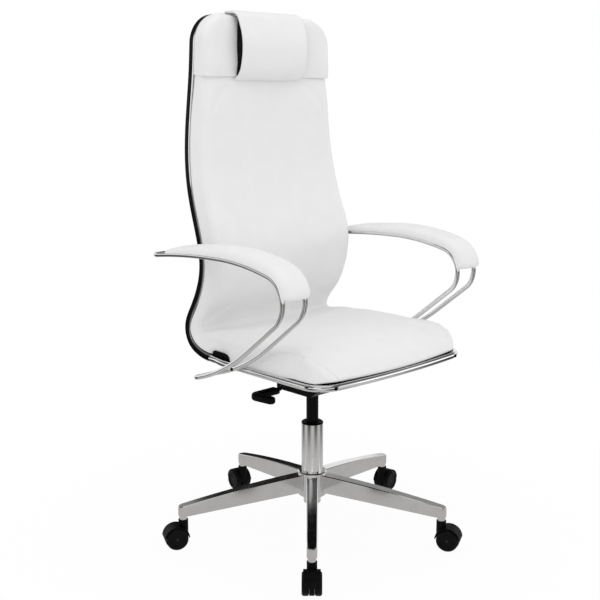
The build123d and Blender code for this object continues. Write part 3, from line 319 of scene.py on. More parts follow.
def cubic(at: Array, values: Array, where: Array) -> Array:
    """Natural cubic spline: each stretch is a cubic whose slope and bend run on into the next.

    Args:
        at: rising knot positions.
        values: one row per knot.
        where: positions to read.

    Returns:
        One row per position.
    """
    step = np.diff(at)
    count = len(at)
    inner = np.arange(1, count - 1)
    system = np.zeros((count, count))
    system[[0, -1], [0, -1]] = 1.0
    system[inner, inner - 1] = step[:-1]
    system[inner, inner] = 2.0 * (step[:-1] + step[1:])
    system[inner, inner + 1] = step[1:]
    right = np.zeros_like(values)
    right[1:-1] = 6.0 * np.diff(np.diff(values, axis=0) / step[:, None], axis=0)
    bend = np.linalg.solve(system, right)
    k = np.clip(np.searchsorted(at, where) - 1, 0, count - 2)
    a = ((at[k + 1] - where) / step[k])[:, None]
    b = 1.0 - a
    bent = ((a**3 - a) * bend[k] + (b**3 - b) * bend[k + 1]) * step[k][:, None] ** 2 / 6
    return a * values[k] + b * values[k + 1] + bent


def along_run(points: Array) -> Array:
    """Length of the run from the first point to each point."""
    return np.concatenate([[0.0], np.cumsum(np.linalg.norm(np.diff(points, axis=0), axis=1))])


def headings(points: Array) -> Array:
    """Unit direction of a run at each of its points."""
    along = np.gradient(points, axis=0)
    return along / np.linalg.norm(along, axis=1, keepdims=True)


def pose(right: Array, look: Array, place: Sequence[float]) -> Matrix:
    """Placement of a camera or lamp that looks along one direction, with another to its right."""
    turned = np.eye(4)
    turned[:3, 0], turned[:3, 1] = right, np.cross(right, look)
    turned[:3, 2], turned[:3, 3] = -look, place
    return Matrix(turned.tolist())


def grid_object(name: str, points: Array, slot: Slot) -> bpy.types.Object:
    """Mesh a closed tube of rings, with a middle point closing each end.

    Args:
        name: the piece's name.
        points: rings by points by 3, in millimetres; each ring is a closed loop.
        slot: finish of the piece.

    Returns:
        The linked object, at the origin, with faces outwards.
    """
    rings, loop, _ = points.shape
    verts = np.concatenate([points.reshape(-1, 3), points[[0, -1]].mean(axis=1)]) * MM
    i, j = np.meshgrid(np.arange(rings - 1), np.arange(loop), indexing="ij")
    k = (j + 1) % loop
    corners = [i * loop + j, i * loop + k, (i + 1) * loop + k, (i + 1) * loop + j]
    quads = np.stack(corners, axis=-1).reshape(-1, 4)
    j, end = np.arange(loop), (rings - 1) * loop
    k = (j + 1) % loop
    first = np.stack([k, j, np.full(loop, rings * loop)], axis=-1)
    last = np.stack([end + j, end + k, np.full(loop, rings * loop + 1)], axis=-1)
    a, b, c, d = (verts[quads[:, n]] for n in range(4))
    volume = np.einsum("ij,ij->i", a, np.cross(b, c) + np.cross(c, d)).sum()
    flip = slice(None, None, -1) if volume < 0 else slice(None)
    mesh = bpy.data.meshes.new(name)
    faces = [face for group in (quads, first, last) for face in group[:, flip].tolist()]
    mesh.from_pydata(verts.tolist(), [], faces)
    mesh.polygons.foreach_set("use_smooth", np.ones(len(mesh.polygons), dtype=bool))
    mesh.materials.append(MATERIALS[slot])
    made = bpy.data.objects.new(name, mesh)
    bpy.context.scene.collection.objects.link(made)
    return made


def tube(path: Array, radius: float, sides: int = 10) -> Array:
    """Rings of a round bar: circles square to the path, each begun square to one fixed direction."""
    along = headings(path)
    side = np.cross(along, ASKEW)
    side /= np.linalg.norm(side, axis=1, keepdims=True)
    other = np.cross(along, side)
    turn = np.linspace(0.0, 2.0 * np.pi, sides, endpoint=False)
    ring = np.cos(turn)[:, None] * side[:, None] + np.sin(turn)[:, None] * other[:, None]
    return path[:, None] + radius * ring


@dataclass(frozen=True)
class ClothRun:
    """Settings of the cloth simulation that swells the pads."""

    quality: int = 6
    stretch: float = 40.0
    bending: float = 4.0
    pressure: float = 4.0
    frames: int = 20


def swell(piece: bpy.types.Object, held: Array, limit: float, run: ClothRun = ClothRun()) -> None:
    """Puff a closed pad out by a short cloth run with air pressure inside and no gravity.

    Args:
        piece: the pad, a closed mesh.
        held: one flag per vertex; flagged ones stay where they are.
        limit: greatest movement of a vertex, in millimetres; smaller ones are kept nearly as they are.
        run: settings of the simulation.
    """
    scene = bpy.context.scene
    group = piece.vertex_groups.new(name="held")
    group.add(np.flatnonzero(held).tolist(), 1.0, "REPLACE")
    cloth = piece.modifiers.new("cloth", "CLOTH")
    cloth.settings.vertex_group_mass = group.name
    cloth.settings.quality = run.quality
    cloth.settings.tension_stiffness = cloth.settings.compression_stiffness = run.stretch
    cloth.settings.bending_stiffness = run.bending
    cloth.settings.use_pressure = True
    cloth.settings.uniform_pressure_force = run.pressure
    cloth.settings.effector_weights.gravity = 0.0
    cloth.collision_settings.use_collision = False
    for tick in range(1, run.frames + 1):
        scene.frame_set(tick)
    blown = piece.evaluated_get(bpy.context.evaluated_depsgraph_get()).data
    rest, after = (np.empty(3 * len(held)) for _ in range(2))
    piece.data.vertices.foreach_get("co", rest)
    blown.vertices.foreach_get("co", after)
    shift = (after - rest).reshape(-1, 3)
    far = np.maximum(np.linalg.norm(shift, axis=1, keepdims=True), 1e-9)
    kept = limit * MM * np.tanh(far / (limit * MM)) / far
    piece.modifiers.remove(cloth)
    piece.vertex_groups.remove(group)
    piece.data.vertices.foreach_set("co", rest + (shift * kept).ravel())
    piece.data.update()
    scene.frame_set(1)
    LOG.info("%s: swelled by up to %.1f mm", piece.name, (far * kept).max() / MM)


def upholster(piece: bpy.types.Object, replaced: Iterable[str]) -> None:
    """Smooth a leatherette piece, tie it to the seat body and hide the solids that it stands for."""
    smooth = piece.modifiers.new("smooth", "SUBSURF")
    smooth.levels = smooth.render_levels = 1
    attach(piece, Body.SEAT.value)
    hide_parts(*replaced)
    LOG.info("%s: %d points", piece.name, len(piece.data.vertices))


def section_loop(flat: int, arc: int, wall: int) -> tuple[Array, Array, Array, Array]:
    """Sampling of a pad's cross-section, as arrays along its closed loop.

    Args:
        flat: points across each broad face.
        arc: points round each edge.
        wall: points down each side.

    Returns:
        Side sign, share across the broad face, turn round the face's edge, and share down the wall and round
        the rear edge. Share and turn count from the front face: the loop runs across the front, down one
        side, back behind and up the other side.
    """
    across = np.linspace(-1.0, 1.0, flat)
    down_turn = np.linspace(0.0, 1.0, arc + 2)[1:-1]
    down_wall = np.linspace(0.0, 1.0, wall)
    edge = np.ones(2 * arc + wall)
    side = np.concatenate([np.sign(across), edge, np.sign(across[::-1]), -edge])
    lam = np.concatenate([np.abs(across), edge, np.abs(across), edge])
    past_front = np.ones(wall + arc + flat + arc + wall)
    front = np.concatenate([np.zeros(flat), down_turn, past_front, down_turn[::-1]])
    zero, one = np.zeros(flat + arc), np.ones(flat)
    rear_down = np.concatenate([down_wall, 1.0 + down_turn])
    rear = np.concatenate([zero, rear_down, 2.0 * one, rear_down[::-1], np.zeros(arc)])
    return side, lam, front, rear


@dataclass
class ShellLine:
    """The shell's rear face in the side view, and its outline in the front view, as the solids have them."""

    knots: Array = field(
        default_factory=lambda: np.array(
            [
                (100.0, 429.0), (152.0, 436.0), (188.0, 460.0), (198.0, 494.0), (176.0, 545.0),
                (142.0, 636.0), (162.0, 738.0), (190.0, 860.0), (197.0, 965.0), (192.0, 1070.0),
                (184.6, 1190.0),
            ]
        )
    )
    wide: float = 212.0
    narrow: float = 191.0
    wide_to: float = 780.0
    narrow_from: float = 1085.0
    top: float = 1184.0
    corner: float = 62.0
    samples: int = 900

    def offset(self, heights: Array, depth: Array | float) -> Array:
        """Points in front of the rear face: its point at each height, moved square to the face by depth.

        Args:
            heights: heights on the rear face of the back.
            depth: distance forward, one or one per height.

        Returns:
            Rows of (y, z).
        """
        at = along_run(self.knots)
        fine = np.linspace(0.0, at[-1], self.samples)
        line = cubic(at, self.knots, fine)
        along = headings(line)
        where = np.interp(heights, line[:, 1], fine)
        spot = np.stack([np.interp(where, fine, line[:, n]) for n in (0, 1)], axis=1)
        aim = np.stack([np.interp(where, fine, along[:, n]) for n in (0, 1)], axis=1)
        return spot + np.reshape(depth, (-1, 1)) * np.stack([-aim[:, 1], aim[:, 0]], axis=1)

    def half_width(self, z: Array, inset: float) -> Array:
        """Half of the outline's width: a smooth step down, then a quarter circle at the top corner."""
        share = ease((z - self.wide_to) / (self.narrow_from - self.wide_to))
        width = self.wide + (self.narrow - self.wide) * share
        radius = self.corner - inset
        over = np.clip(z - (self.top - self.corner), 0.0, radius)
        return width - inset - radius + np.sqrt(radius**2 - over**2)


@dataclass
class Pad:
    """A crowned, closed pad between a rear line and a front line, with rounded edges."""

    name: str
    rear_edge: float
    front_edge: float
    crown: float = 0.0
    spacing: float = 7.0
    arc: int = 6
    wall: int = 4
    puff: float = 3.0
    least_step: float = 6.0
    held_from: float = 0.6
    front_share: float = 0.55
    rear_share: float = 0.3
    crown_share: float = 0.2

    def stations(self) -> tuple[Array, Array]:
        """Rows of (y, z) on the rear line and on the front line, one pair per section."""
        raise NotImplementedError

    def edges(self, count: int) -> tuple[Array, Array]:
        """Radius of the front edge, and crown of the front face, at each of a number of sections."""
        return np.full(count, self.front_edge), np.full(count, self.crown)

    def half_width(self, y: Array, z: Array) -> Array:
        """Half of the pad's width where its side passes a point of the side view."""
        raise NotImplementedError

    def settle(self, points: Array) -> Array:
        """Last small shifts of the finished surface."""
        return points

    def surface(self) -> tuple[Array, Array]:
        """The pad as rings of points.

        Formula: each section lies between a rear and a front point of the side view. Its edge runs round a
        quarter circle from the front face into the side and round another behind; its face stands out, or
        is hollow, by a crown that falls with the square of the share across. Across, a point keeps its
        distance from the outline at its own depth and height, so that the outline's round corners carry
        through.

        Returns:
            Rings by points by 3 in millimetres, and for each the share of the way from the front face to the
            rear, over 1 behind.
        """
        rear, front = self.stations()
        middle = (rear + front) / 2
        step = np.linalg.norm(np.diff(middle, axis=0), axis=1) + self.least_step
        run = np.concatenate([[0.0], np.cumsum(step)])
        where = np.linspace(0.0, run[-1], int(run[-1] / self.spacing) + 2)
        edge, crown = (np.interp(where, run, given)[:, None] for given in self.edges(len(run)))
        rear, front = cubic(run, rear, where), cubic(run, front, where)
        flat = int(2 * self.half_width(front[:, 0], front[:, 1]).max() / self.spacing)
        side, lam, turn, behind = section_loop(flat, self.arc, self.wall)
        thick = np.linalg.norm(front - rear, axis=1)[:, None]
        front_r = np.minimum(edge, self.front_share * thick)
        rear_r = np.minimum(self.rear_edge, self.rear_share * thick)
        quarter = 0.5 * np.pi
        rear_turn = np.clip(behind - 1.0, 0.0, 1.0)
        depth = front_r * (1.0 - np.cos(quarter * turn))
        depth = depth + (thick - front_r - rear_r) * np.clip(behind, 0.0, 1.0)
        depth = depth + rear_r * np.sin(quarter * rear_turn)
        inset = front_r * (1.0 - np.sin(quarter * turn)) + rear_r * (1.0 - np.cos(quarter * rear_turn))
        on_face = (behind < 0.001) & (turn < 0.001)
        rise = np.minimum(crown, self.crown_share * thick) * (1.0 - lam**2) * on_face
        share = (depth - rise) / thick
        spot = front[:, None] + (rear - front)[:, None] * share[..., None]
        reach = np.maximum(self.half_width(spot[..., 0], spot[..., 1]) - inset, 1.0)
        points = self.settle(np.concatenate([(side * lam * reach)[..., None], spot], axis=-1))
        return points, np.broadcast_to(behind, points.shape[:2])

    def build(self, replaced: Iterable[str], fill: float) -> bpy.types.Object:
        """Mesh the pad, swell it and hide the solids that it stands for."""
        points, behind = self.surface()
        made = grid_object(self.name, points, Slot.LEATHER)
        held = behind > self.held_from
        held[[0, 1, -2, -1]] = True
        swell(made, np.append(held.ravel(), [True, True]), self.puff)
        upholster(made, replaced)
        return made


@dataclass
class BodyPad(Pad):
    """Seat and back upholstery in one run: rolled front, seat, inner corner, lumbar bulge, back."""

    shell: ShellLine = field(default_factory=ShellLine)
    seat_half_w: float = 226.0
    back_half_w: float = 212.0
    front: float = -263.0
    corner: float = 50.0
    tuck_from: float = 0.0
    tuck_to: float = 72.0
    base: float = 443.0
    over_tube: float = 446.4
    seat_top: float = 501.0
    roll: float = 92.0
    roll_stations: int = 6
    roll_tuck: float = 26.0
    foot_edge: float = 4.0
    flat_y: Pair = (-140.0, 70.0)
    flat_stations: int = 5
    bow: float = 8.9
    bow_from: float = -150.0
    bow_run: float = 80.0
    near: float = 16.6
    draw_in: float = 2.5
    draw_from: float = 960.0
    draw_run: float = 90.0
    recess: float = 9.0
    recess_y: Pair = (32.0, 112.0)
    recess_top: float = 459.0
    recess_slope: float = 12.0
    recess_roof: float = 7.0
    back_above: float = 535.0
    corner_rear: Knots = (
        (108.0, 446.0), (146.0, 453.0), (170.0, 468.0), (180.5, 487.0), (178.0, 507.0), (164.5, 532.0),
    )
    corner_front: Knots = (
        (103.0, 496.5), (128.0, 492.5), (144.0, 491.5), (151.5, 496.0), (150.0, 506.0), (139.0, 523.0),
    )
    back: Knots = (
        (562.0, 32.0), (620.0, 41.0), (690.0, 48.0), (760.0, 45.0), (835.0, 43.0), (900.0, 43.5),
        (960.0, 43.5), (1015.0, 41.0), (1068.0, 31.0),
    )
    crowns: Knots = (
        (7.0, 6.0), (11.0, -14.0), (12.0, -14.0), (14.5, -5.0), (17.0, -16.0), (19.0, -26.0), (22.0, -18.0),
    )

    def stations(self) -> tuple[Array, Array]:
        """Quarter ellipse over the front, straight seat, set inner corner, then square to the shell."""
        turn = np.radians(np.linspace(90.0, 0.0, self.roll_stations))
        roll_front = np.stack(
            [
                self.front + self.roll * (1.0 - np.sin(turn)),
                self.over_tube + (self.seat_top - self.over_tube) * np.cos(turn),
            ],
            axis=1,
        )
        roll_rear = roll_front + np.stack([self.roll_tuck * np.sin(turn), np.zeros_like(turn)], axis=1)
        roll_rear[:, 1] = self.over_tube
        flat = np.linspace(*self.flat_y, self.flat_stations)
        seat_rear = np.stack([flat, np.full_like(flat, self.base)], axis=1)
        seat_front = np.stack([flat, np.full_like(flat, self.seat_top)], axis=1)
        heights, thickness = np.array(self.back).T
        back_rear = self.shell.offset(heights, self.near)
        back_front = self.shell.offset(heights, self.near + thickness)
        rear = np.concatenate([roll_rear, seat_rear, self.corner_rear, back_rear])
        return rear, np.concatenate([roll_front, seat_front, self.corner_front, back_front])

    def edges(self, count: int) -> tuple[Array, Array]:
        """Edge small at the foot of the front roll, where the pad meets the tube; crowns set by station."""
        growing = np.linspace(self.foot_edge, self.front_edge, self.roll_stations)
        edge = np.concatenate([growing, np.full(count - self.roll_stations, self.front_edge)])
        return edge, np.interp(np.arange(count, dtype=float), *np.array(self.crowns).T)

    def half_width(self, y: Array, z: Array) -> Array:
        """Half of the width: the seat's outline below, the shell's above.

        The seat has round front corners, draws in to the back's width and has a recess for the side insert.
        The back draws in a little more under the head cover.
        """
        ahead = np.clip(self.front + self.corner - y, 0.0, self.corner)
        seat = self.seat_half_w - self.corner + np.sqrt(self.corner**2 - ahead**2)
        tuck = ease((y - self.tuck_from) / (self.tuck_to - self.tuck_from))
        seat = seat - (self.seat_half_w - self.back_half_w) * tuck
        low, high = self.recess_y
        recess = ease((y - low) / self.recess_slope) * ease((high - y) / self.recess_slope)
        seat = seat - self.recess * (recess * ease((self.recess_top - z) / self.recess_roof))
        back = self.shell.half_width(z, self.shell.wide - self.back_half_w)
        back = back - self.draw_in * ease((z - self.draw_from) / self.draw_run)
        return np.where(z > self.back_above, back, seat)

    def settle(self, points: Array) -> Array:
        """Bow the seat's front like the tube: back with the square of the distance from the middle."""
        share = ease((self.bow_from - points[..., 1]) / self.bow_run)
        reach = np.clip(points[..., 0] / (self.seat_half_w - self.corner), -1.0, 1.0)
        points[..., 1] += self.bow * reach**2 * share
        return points


@dataclass
class SeatSeam:
    """Sewn line that parts the seat's side panel from its top, on one side."""

    side: int
    radius: float = 1.3
    sunk: float = 0.2
    path_points: int = 110
    beyond_x: float = 150.0
    ahead_of_y: float = -50.0
    knots: Knots = (
        (222.0, -75.0, 464.0), (222.0, -100.0, 480.0), (221.0, -138.0, 499.0), (218.0, -172.0, 500.0),
        (213.0, -197.0, 496.0), (203.0, -222.0, 488.0), (190.0, -240.0, 475.0), (180.0, -251.0, 462.0),
        (172.0, -257.0, 449.0),
    )

    def build(self, name: str, pad: bpy.types.Object) -> bpy.types.Object:
        """Lay a fine welt along the knots on the pad.

        Each point of the line drops square onto the plane that touches the pad at its nearest vertex, and
        then sinks a little below it.

        Args:
            name: the piece's name.
            pad: the upholstery that it lies on.

        Returns:
            The linked object.
        """
        knots = np.array(self.knots) * (self.side, 1.0, 1.0)
        at = along_run(knots)
        path = cubic(at, knots, np.linspace(0.0, at[-1], self.path_points))
        mesh = pad.evaluated_get(bpy.context.evaluated_depsgraph_get()).data
        spots, normals = (np.empty((len(mesh.vertices), 3)) for _ in range(2))
        mesh.vertices.foreach_get("co", spots.reshape(-1))
        mesh.vertex_normals.foreach_get("vector", normals.reshape(-1))
        spots = spots / MM
        near_by = (self.side * spots[:, 0] > self.beyond_x) & (spots[:, 1] < self.ahead_of_y)
        spots, normals = spots[near_by], normals[near_by]
        gap = path[:, None] - spots[None]
        near = np.argmin(np.einsum("ijk,ijk->ij", gap, gap), axis=1)
        lift = np.einsum("ij,ij->i", gap[np.arange(len(path)), near], normals[near])
        path = path - (lift + self.sunk)[:, None] * normals[near]
        made = grid_object(name, tube(path, self.radius), Slot.LEATHER)
        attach(made, Body.SEAT.value)
        return made


@dataclass
class HeadPad(Pad):
    """Head cover pulled over the top of the back: rounded lower lip, rolled top edge."""

    shell: ShellLine = field(default_factory=ShellLine)
    low: float = 1053.0
    near: float = 16.6
    thickness: float = 42.5
    top_thickness: float = 34.5
    lip: float = 3.0
    inset: float = 0.5
    sunk: float = 2.0
    above_lip: float = 22.0
    roll_below: float = 32.0
    roll_depth: float = 20.0
    roll_rise: float = 34.0
    rear_rise: float = 26.0
    least_top: float = 4.0
    face_stations: int = 4
    lip_turns: tuple[float, ...] = (0.0, 35.0, 65.0, 90.0)
    roll_turns: tuple[float, ...] = (30.0, 55.0, 75.0, 90.0)

    def stations(self) -> tuple[Array, Array]:
        """Lip at the foot, sections square to the shell, then a quarter ellipse over the top."""
        behind, roll_z = self.near - self.sunk, self.shell.top - self.roll_below
        lip_turn, roll = np.radians(self.lip_turns), np.radians(self.roll_turns)
        lip_z = self.low + self.lip * (1.0 - np.cos(lip_turn))
        lip_depth = self.near + self.thickness - self.lip * (1.0 - np.sin(lip_turn))
        heights = np.linspace(self.low + self.above_lip, roll_z, self.face_stations)
        face = self.near + np.linspace(self.thickness, self.top_thickness, self.face_stations)
        depth = self.near + self.top_thickness - self.roll_depth * (1.0 - np.cos(roll))
        top_front = self.shell.offset(np.full_like(roll, roll_z), depth)
        top_front[:, 1] = roll_z + self.roll_rise * np.sin(roll)
        top_rear = self.shell.offset(np.full_like(roll, roll_z), behind)
        top_rear[:, 1] += self.rear_rise * np.sin(roll)
        lip_rear = self.shell.offset(lip_z + self.sunk, behind)
        rear = np.concatenate([lip_rear, self.shell.offset(heights, behind), top_rear])
        lip_front = self.shell.offset(lip_z, lip_depth)
        return rear, np.concatenate([lip_front, self.shell.offset(heights, face), top_front])

    def half_width(self, y: Array, z: Array) -> Array:
        """The shell's outline, drawn in a little."""
        return self.shell.half_width(np.minimum(z, self.shell.top - self.least_top), self.inset)


@dataclass
class HeadBand:
    """Bowed strap over the head cover, carried over the top of the shell."""

    name: str = "head_strap"
    half_w: float = 97.0
    thickness: float = 7.0
    spacing: float = 6.0
    arc: int = 5
    wall: int = 2
    knots: Knots = (
        (158.0, 1045.5), (146.0, 1047.0), (134.0, 1056.0), (123.5, 1082.0), (119.5, 1112.0),
        (122.0, 1142.0), (131.0, 1168.0), (137.0, 1180.5), (148.0, 1188.5), (166.0, 1190.0),
        (186.0, 1189.5),
    )

    def surface(self) -> Array:
        """Rings of the strap: a thin strip along a smooth line through the knots, long edges half round."""
        knots = np.array(self.knots)
        at = along_run(knots)
        line = cubic(at, knots, np.linspace(0.0, at[-1], int(at[-1] / self.spacing)))
        along = headings(line)
        out = np.stack([-along[:, 1], along[:, 0]], axis=1)
        flat = int(2 * self.half_w / self.spacing)
        side, lam, turn, behind = section_loop(flat, self.arc, self.wall)
        radius = self.thickness / 2
        rear_turn = np.clip(behind - 1.0, 0.0, 1.0)
        quarter = 0.5 * np.pi
        depth = radius * (1.0 - np.cos(quarter * turn)) + radius * np.sin(quarter * rear_turn)
        inset = radius * (1.0 - np.sin(quarter * turn)) + radius * (1.0 - np.cos(quarter * rear_turn))
        spot = line[:, None] + out[:, None] * (radius - depth)[..., None]
        across = np.broadcast_to(side * lam * (self.half_w - inset), spot.shape[:2])
        return np.concatenate([across[..., None], spot], axis=-1)

    def build(self) -> bpy.types.Object:
        """Mesh the strap."""
        made = grid_object(self.name, self.surface(), Slot.LEATHER)
        upholster(made, replaced=["head_band"])
        return made


@dataclass
class ArmRest:
    """Pad along the upper rods of an arm loop, thicker towards the nose."""

    side: int
    mid_x: float = 270.05
    half_w: float = 35.0
    nose: Pair = (-169.0, 615.0)
    nose_r: float = 54.0
    upper_slope: float = 14.0
    upper_r: float = 600.0
    rear_r: float = 1600.0
    rear_run: float = 190.0
    end_bearing: float = 171.0
    seat: float = 1.8
    spacing: float = 5.0
    around: int = 56
    belly: float = 0.16
    side_power: float = 0.55
    arch_power: float = 0.75
    belly_power: float = 0.5
    tip_run: float = 16.0
    tip_narrowing: float = 0.5
    end_run: float = 5.0
    end_tuck: float = 0.12
    heights: Knots = (
        (0.0, 7.0), (0.06, 12.0), (0.24, 18.0), (0.40, 21.0), (0.56, 23.0), (0.70, 24.0), (0.845, 24.0),
        (0.92, 23.0), (0.97, 21.5), (1.0, 20.0),
    )

    def line(self) -> tuple[Array, Array]:
        """Middle line of the rods in the side view, from the rear to the nose, and its outward direction.

        Formula: three arcs that run into each other: a long flat one, a rounder one and the tight nose.

        Returns:
            Rows of (y, z), and rows of the unit direction away from the arcs' centres.
        """
        start = 90.0 + self.upper_slope
        aim = np.array([np.cos(np.radians(start)), np.sin(np.radians(start))])
        upper = np.array(self.nose) + (self.nose_r - self.upper_r) * aim
        rear = upper + np.array([0.0, self.upper_r - self.rear_r])
        rear_from = 90.0 - np.degrees(np.arcsin(self.rear_run / self.rear_r))
        arcs = [
            (rear, self.rear_r, rear_from, 90.0),
            (upper, self.upper_r, 90.0, start),
            (np.array(self.nose), self.nose_r, start, self.end_bearing),
        ]
        spots, outs = [], []
        for centre, radius, low, high in arcs:
            count = max(int(np.radians(high - low) * radius / self.spacing), 3)
            turn = np.radians(np.linspace(low, high, count, endpoint=high == self.end_bearing))
            out = np.stack([np.cos(turn), np.sin(turn)], axis=1)
            spots.append(centre + radius * out)
            outs.append(out)
        return np.concatenate(spots), np.concatenate(outs)

    def surface(self) -> Array:
        """Rings of the pad: nearly flat below, full sides, an arch on top, its height a smooth line."""
        spot, out = self.line()
        run = along_run(spot)
        knots = np.array(self.heights)
        height = cubic(knots[:, 0], knots[:, 1:], run / run[-1])[:, 0]
        tip = np.sqrt(1.0 - np.clip(1.0 - run / self.tip_run, 0.0, 1.0) ** 2 * self.tip_narrowing)
        end = np.clip(1.0 - (run[-1] - run) / self.end_run, 0.0, 1.0)
        tuck = 1.0 - self.end_tuck * end**2
        turn = np.linspace(0.0, 2.0 * np.pi, self.around, endpoint=False)
        x = np.sign(np.cos(turn)) * np.abs(np.cos(turn)) ** self.side_power
        up = np.abs(np.sin(turn))
        rise = np.where(np.sin(turn) > 0, up**self.arch_power, -self.belly * up**self.belly_power)
        rise = (rise + self.belly) / (1.0 + self.belly)
        lift = self.seat + height[:, None] * tuck[:, None] * rise
        plane = spot[:, None] + out[:, None] * lift[..., None]
        across = self.side * self.mid_x + self.half_w * (tip * tuck)[:, None] * x
        return np.concatenate([across[..., None], plane], axis=-1)

    def build(self, name: str, replaced: str) -> bpy.types.Object:
        """Mesh the arm rest."""
        made = grid_object(name, self.surface(), Slot.LEATHER)
        upholster(made, replaced=[replaced])
        return made


@dataclass(frozen=True)
class SoftBox:
    """A square area lamp, aimed at a point."""

    name: str
    place: Triple
    target: Triple
    size: float
    watts: float

    def build(self) -> None:
        """Hang the lamp."""
        data = bpy.data.lights.new(self.name, "AREA")
        data.size, data.energy = self.size, self.watts
        made = bpy.data.objects.new(self.name, data)
        look = np.array(self.target) - np.array(self.place)
        look /= np.linalg.norm(look)
        right = np.cross(look, UP)
        right /= np.linalg.norm(right)
        made.matrix_world = pose(right, look, self.place)
        bpy.context.scene.collection.objects.link(made)


@dataclass(frozen=True)
class Card:
    """A flat upright or lying rectangle of the stage that faces along aim."""

    name: str
    middle: Triple
    width: float
    height: float
    aim: Triple

    def build(self, material: bpy.types.Material) -> bpy.types.Object:
        """Mesh the card."""
        normal = np.array(self.aim) / np.linalg.norm(self.aim)
        lying = np.isclose(abs(normal @ UP), 1.0)
        across = np.array([1.0, 0.0, 0.0]) if lying else np.cross(UP, normal)
        across /= np.linalg.norm(across)
        up = np.cross(normal, across)
        half = np.stack([across * self.width, up * self.height]) / 2
        verts = np.array(self.middle) + np.array([(-1, -1), (1, -1), (1, 1), (-1, 1)]) @ half
        mesh = bpy.data.meshes.new(self.name)
        mesh.from_pydata(verts.tolist(), [], [(0, 1, 2, 3)])
        mesh.materials.append(material)
        made = bpy.data.objects.new(self.name, mesh)
        bpy.context.scene.collection.objects.link(made)
        return made


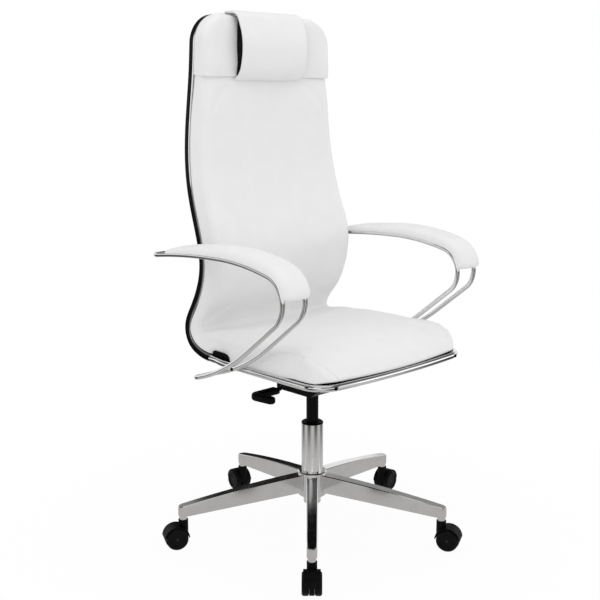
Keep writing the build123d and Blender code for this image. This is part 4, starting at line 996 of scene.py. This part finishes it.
@dataclass
class Studio:
    """White floor and backdrop, soft lamps, dark cards for the metal to mirror, and the camera."""

    distance: float = 2.27194
    height: float = 1.00699
    focal_px: float = 1021.2977
    frame_px: float = 600.0
    pitch: float = 11.254267
    azimuth: float = -44.587303
    yaw: float = -0.723272
    sensor: float = 36.0
    far_clip: float = 50.0
    ambient: float = 0.88
    floor_tint: Triple = (1.0, 0.98, 0.96)
    near_level: float = 0.57
    far_drop: float = 0.25
    far_from: Pair = (0.45, 0.9)
    streaks: float = 5.0
    streak_turn: float = 0.6
    streak_level: float = 0.28
    shadow: float = 0.045
    shadow_reach: Pair = (0.4, 1.1)
    dark_ceiling: float = 0.88
    ceiling_rise: Pair = (0.22, 0.50)
    floor_card: Card = Card("floor", (0.0, 0.0, 0.0), 40.0, 40.0, (0.0, 0.0, 1.0))
    dark_cards: tuple[Card, ...] = (
        Card("dark_card_left", (-3.2, 0.6, 1.0), 0.9, 2.4, (1.0, -0.2, 0.0)),
        Card("dark_card_right", (0.8, -3.3, 1.0), 0.9, 2.4, (-0.2, 1.0, 0.0)),
        Card("dark_card_rear", (1.95, 2.85, 1.0), 1.3, 2.0, (-0.6, -0.8, 0.0)),
    )
    lamps: tuple[SoftBox, ...] = (
        SoftBox("top_box", (-0.4, -0.5, 3.2), (0.0, 0.0, 0.5), 2.6, 14.0),
        SoftBox("key_box", (-2.8, -1.6, 2.4), (0.0, 0.0, 0.7), 1.8, 6.0),
        SoftBox("fill_box", (2.4, -2.2, 1.6), (0.0, 0.0, 0.6), 1.8, 6.0),
    )

    def camera(self) -> None:
        """Stand the camera where the photograph was taken from, level across, tilted down a little."""
        turn, swing, tilt = np.radians([self.azimuth, -self.yaw, self.pitch])
        back = np.array([np.sin(turn), -np.cos(turn), 0.0])
        yawed = np.eye(3)
        yawed[:2, :2] = [(np.cos(swing), -np.sin(swing)), (np.sin(swing), np.cos(swing))]
        flat = yawed @ -back
        look = flat * np.cos(tilt) - np.sin(tilt) * UP
        data = bpy.data.cameras.new("photo_camera")
        data.sensor_width = self.sensor
        data.lens = self.focal_px / self.frame_px * self.sensor
        data.clip_end = self.far_clip
        made = bpy.data.objects.new("photo_camera", data)
        made.matrix_world = pose(np.cross(flat, UP), look, back * self.distance + self.height * UP)
        bpy.context.scene.collection.objects.link(made)
        bpy.context.scene.camera = made

    def floor(self) -> None:
        """Wide floor: white to the camera but for a faint shadow by the chair, warm grey in the metal."""
        shader = Shader("white_floor")
        shader.fixed(Base_Color=(0.88, 0.88, 0.88, 1.0), Roughness=0.9, Specular_IOR_Level=0.0)
        mirrored = shader.rays("Is Glossy Ray")
        away = shader.node("ShaderNodeVectorMath", {"operation": "LENGTH"}, {0: shader.place}, "Value")
        x, y = (shader.node("ShaderNodeSeparateXYZ", {}, {0: shader.place}, axis) for axis in "XY")
        bearing = shader.node("ShaderNodeMath", {"operation": "ARCTAN2"}, {0: y, 1: x})
        wave = self.streaks * bearing + self.streak_turn
        streak = shader.node("ShaderNodeMath", {"operation": "SINE"}, {0: wave})
        level = self.near_level + away.band(*self.far_from) * (self.streak_level * streak - self.far_drop)
        dim = shader.blend(level, (0.0, 0.0, 0.0), self.floor_tint)
        sockets = {0: mirrored, 6: (1.0, 1.0, 1.0, 1.0), 7: dim}
        colour = shader.node("ShaderNodeMix", {"data_type": "RGBA"}, sockets, 2)
        glow = shader.node("ShaderNodeEmission", {}, {"Color": colour})
        white = (1.0 - self.shadow) + self.shadow * away.band(*self.shadow_reach)
        share = shader.rays("Is Camera Ray") * white + mirrored
        lit = Value(shader, shader.surface.outputs[0])
        mixed = shader.node("ShaderNodeMixShader", {}, {0: share, 1: lit, 2: glow})
        shader.tree.links.new(mixed.socket, shader.tree.nodes["Material Output"].inputs["Surface"])
        self.floor_card.build(shader.material)

    def cards(self) -> None:
        """Dark cards round the chair, which only mirrors see."""
        shader = Shader("dark_card")
        shader.fixed(Base_Color=(0.01, 0.01, 0.01, 1.0), Roughness=1.0, Specular_IOR_Level=0.0)
        for card in self.dark_cards:
            made = card.build(shader.material)
            for kind in ("camera", "diffuse", "shadow", "transmission"):
                setattr(made, f"visible_{kind}", False)

    def world(self) -> None:
        """White surroundings: white to the camera, dimmer as a lamp, and darker overhead in the metal."""
        world = bpy.data.worlds.new("white_room")
        world.use_nodes = True
        graph = Graph(world.node_tree)
        place = graph.node("ShaderNodeTexCoord", {}, {}, "Generated")
        height = graph.node("ShaderNodeSeparateXYZ", {}, {0: place}, "Z")
        mirror = 1.0 - self.dark_ceiling * height.band(*self.ceiling_rise)
        seen, mirrored = graph.rays("Is Camera Ray"), graph.rays("Is Glossy Ray")
        level = seen + mirrored * mirror + self.ambient * (1.0 - seen - mirrored)
        graph.tree.links.new(level.socket, graph.tree.nodes["Background"].inputs["Strength"])
        graph.tree.nodes["Background"].inputs["Color"].default_value = (1.0, 1.0, 1.0, 1.0)
        bpy.context.scene.world = world

    def build(self) -> None:
        """Set up the whole studio."""
        bpy.context.scene.view_settings.view_transform = "Standard"
        self.camera()
        self.world()
        self.floor()
        self.cards()
        for lamp in self.lamps:
            lamp.build()


def dress_solids() -> None:
    """Give every solid of the frame its finish."""
    slots = {entry["node"]: entry["material_slot"] for entry in frame["record"]["subparts"]}
    for node, solid in frame["nodes"].items():
        solid.data.materials.clear()
        solid.data.materials.append(MATERIALS[Slot(slots[node])])


def free_spring() -> None:
    """Give the tilt spring a mesh of its own."""
    spring = frame["nodes"]["tilt_spring"]
    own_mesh(spring)


def main() -> None:
    """Build the finishes, the soft pieces and the studio, in that order."""
    logging.basicConfig(level=logging.INFO, format="%(name)s: %(message)s")
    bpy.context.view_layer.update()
    MATERIALS.update({slot: finish.material() for slot, finish in FINISHES.items()})
    dress_solids()
    free_spring()
    body = BodyPad("body_pad", rear_edge=4.0, front_edge=17.0)
    body_piece = body.build(["seat_cushion", "back_cushion"], fill=0.9)
    cover = HeadPad("head_cover", rear_edge=4.0, front_edge=16.0, crown=-17.0, spacing=6.0)
    cover.build(["head_pad"], fill=0.8)
    HeadBand().build()
    for side, word in ((1, "left"), (-1, "right")):
        ArmRest(side).build(f"arm_pad_{word}", f"arm_rest_{word}")
        SeatSeam(side).build(f"seat_seam_{word}", body_piece)
    Studio().build()


if __name__ == "__main__":
    main()
